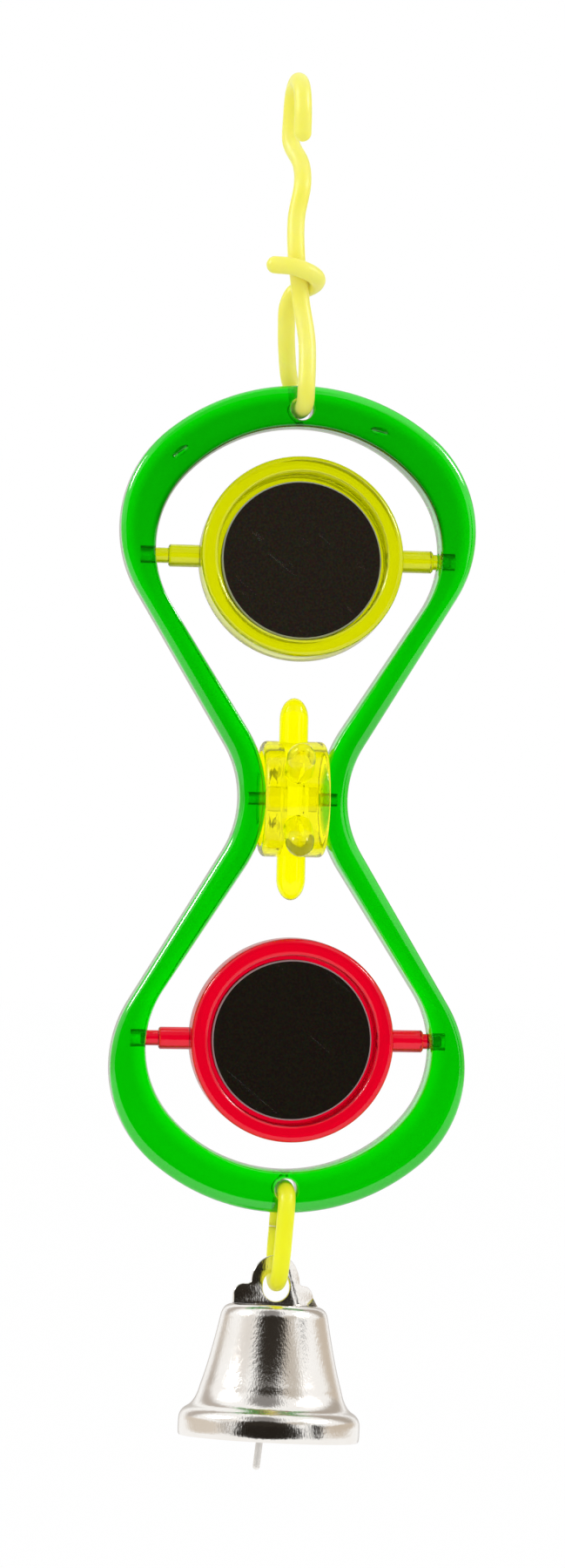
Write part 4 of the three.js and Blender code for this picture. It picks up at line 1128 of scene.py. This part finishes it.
world = bpy.data.worlds.new("studio")
world.use_nodes = True
sky = world.node_tree
strength = maths(sky, "MULTIPLY", seen_white(sky, DAYLIGHT), room_behind(sky))
feed(sky, sky.nodes["Background"], Color=(1, 1, 1, 1), Strength=strength)
bpy.context.scene.world = world

floor_paint, paint, matt = new_finish("floor_paint")
feed(paint, matt, Base_Color=(0.9, 0.9, 0.9, 1), Roughness=0.9)
white = maths(paint, "MULTIPLY", seen_white(paint, 0), FLOOR_WHITE)
show(paint, white, matt.outputs["BSDF"], add_node(paint, "Emission", "Emission"))
floor_half = FLOOR_SIZE / 2
floor_corners = ((-1, -1), (1, -1), (1, 1), (-1, 1))
floor_corners = [(x * floor_half, y * floor_half, FLOOR_Z) for x, y in floor_corners]
floor = as_object("floor", mesh_from("floor", floor_corners, [(0, 1, 2, 3)]))
floor.data.materials.append(floor_paint)


def outwards(azimuth, elevation):
    """The direction at an azimuth from straight ahead and an elevation, in degrees."""
    turn, lift = radians(azimuth), radians(elevation)
    return Vector((sin(turn) * cos(lift), -cos(turn) * cos(lift), sin(lift)))


def card_paint(name, colour, solid):
    """Paint of a card that is solid up to a share of its size, and fades to what is behind it."""
    material, tree, _ = new_finish(name)
    fade = add_node(tree, "Attribute", "Fac", attribute_name="fade")
    soft = ranged(tree, fade, start=solid, interpolation_type="SMOOTHSTEP")
    tone = add_node(tree, "Emission", "Emission", Color=(*colour, 1))
    show(tree, soft, tone, add_node(tree, "BsdfTransparent", "BSDF"))
    return material


def reflected_card(name, azimuth, elevation, half_width, half_height, distance, paint):
    """An oval card bowed round the toy, seen only in reflections. Its size is in degrees."""
    disc = turned(name, [(i / CARD_RINGS, 0) for i in range(CARD_RINGS + 1)], CARD_SIDES)
    fade = disc.attributes.new("fade", "FLOAT", "POINT")
    for vertex in disc.vertices:
        x, y, _ = vertex.co
        fade.data[vertex.index].value = hypot(x, y)
        away = outwards(azimuth + half_width * x, elevation + half_height * y)
        vertex.co = waist + away * distance
    card = as_object(name, disc)
    card.data.materials.append(paint)
    for ray in ("camera", "diffuse", "transmission", "shadow"):
        setattr(card, "visible_" + ray, False)


# each card hangs a step behind the one before: azimuth from the camera, elevation, half sizes, the
# share that is solid, and the tone
for step, (name, azimuth, elevation, half_width, half_height, solid, tone) in enumerate((
    ("left_lip_card", -57, 3, 6, 12, 0.6, (0.30, 0.26, 0.22)),
    ("right_lip_card", 64, 2, 10, 16, 0.75, (0.012, 0.010, 0.008)),
    ("front_lip_card", -1, -4, 50, 9, 0.85, (0.014, 0.011, 0.0077)),
    ("front_card", -4, 9, 43, 30, 0.8, (0.023, 0.0182, 0.0127)),
    ("rear_card", 180, 0, 24, 45, 0.6, (0.60, 0.57, 0.54)),
    ("left_window", -80, 31, 13, 9, 0.5, (18, 18, 18)),
    ("right_window", 79, 33, 13, 9, 0.5, (18, 18, 18)),
    ("front_high_card", -8, 55, 44, 32, 0.6, (0.26, 0.25, 0.24)),
    ("right_card", 38, 26, 24, 11, 0.6, (0.58, 0.53, 0.47)),
    ("left_low_card", -98, -2, 44, 12, 0.6, (0.70, 0.63, 0.55)),
    ("right_low_card", 108, -2, 44, 12, 0.6, (0.62, 0.54, 0.45)),
    ("right_far_card", 134, 30, 24, 40, 0.6, (0.45, 0.40, 0.35)),
    ("left_far_card", -128, 30, 18, 40, 0.6, (0.50, 0.45, 0.41)),
    ("left_card", -60, 22, 26, 12, 0.6, (0.80, 0.77, 0.74)),
)):
    distance = CARD_DISTANCE + CARD_STEP * step
    paint = card_paint(name, tone, solid)
    azimuth += CAMERA_AZIMUTH
    reflected_card(name, azimuth, elevation, half_width, half_height, distance, paint)

for name, place in (
    ("left_softbox", (-0.765, -0.101, 0.464)),
    ("right_softbox", (0.702, -0.277, 0.490)),
):
    lamp = bpy.data.lights.new(name, "AREA")
    lamp.shape = "RECTANGLE"
    lamp.size = lamp.size_y = SOFTBOX_SIZE
    lamp.energy = SOFTBOX_POWER
    box = as_object(name, lamp)
    box.location = place
    box.rotation_mode = "QUATERNION"
    box.rotation_quaternion = (Vector(place) - waist).to_track_quat("Z", "Y")


# The camera stands where the photograph was taken from, a little to the left and rolled a little.
CAMERA_DISTANCE, CAMERA_ELEVATION, CAMERA_ROLL = 0.60, 0.0, 1.2
PHOTO_SIZE, PHOTO_PIXELS_PER_METRE, PHOTO_WAIST = (649, 1800), 8000, (335.8, 917.5)

back = outwards(CAMERA_AZIMUTH, CAMERA_ELEVATION)
view = (-back).to_track_quat("-Z", "Y").to_matrix().to_4x4() @ tilt(CAMERA_ROLL, "Z")
right, up = view.col[0].to_3d(), view.col[1].to_3d()
aside = (PHOTO_SIZE[0] / 2 - PHOTO_WAIST[0]) / PHOTO_PIXELS_PER_METRE
above = (PHOTO_WAIST[1] - PHOTO_SIZE[1] / 2) / PHOTO_PIXELS_PER_METRE
target = waist + right * aside + up * above
lens = bpy.data.cameras.new("photo_camera")
lens.lens = lens.sensor_width * CAMERA_DISTANCE / (PHOTO_SIZE[1] / PHOTO_PIXELS_PER_METRE)
lens.clip_start, lens.clip_end = 0.01, 50
camera = as_object("photo_camera", lens)
camera.matrix_world = Matrix.Translation(target + back * CAMERA_DISTANCE) @ view
bpy.context.scene.camera = camera
bpy.context.scene.view_settings.view_transform = "Standard"
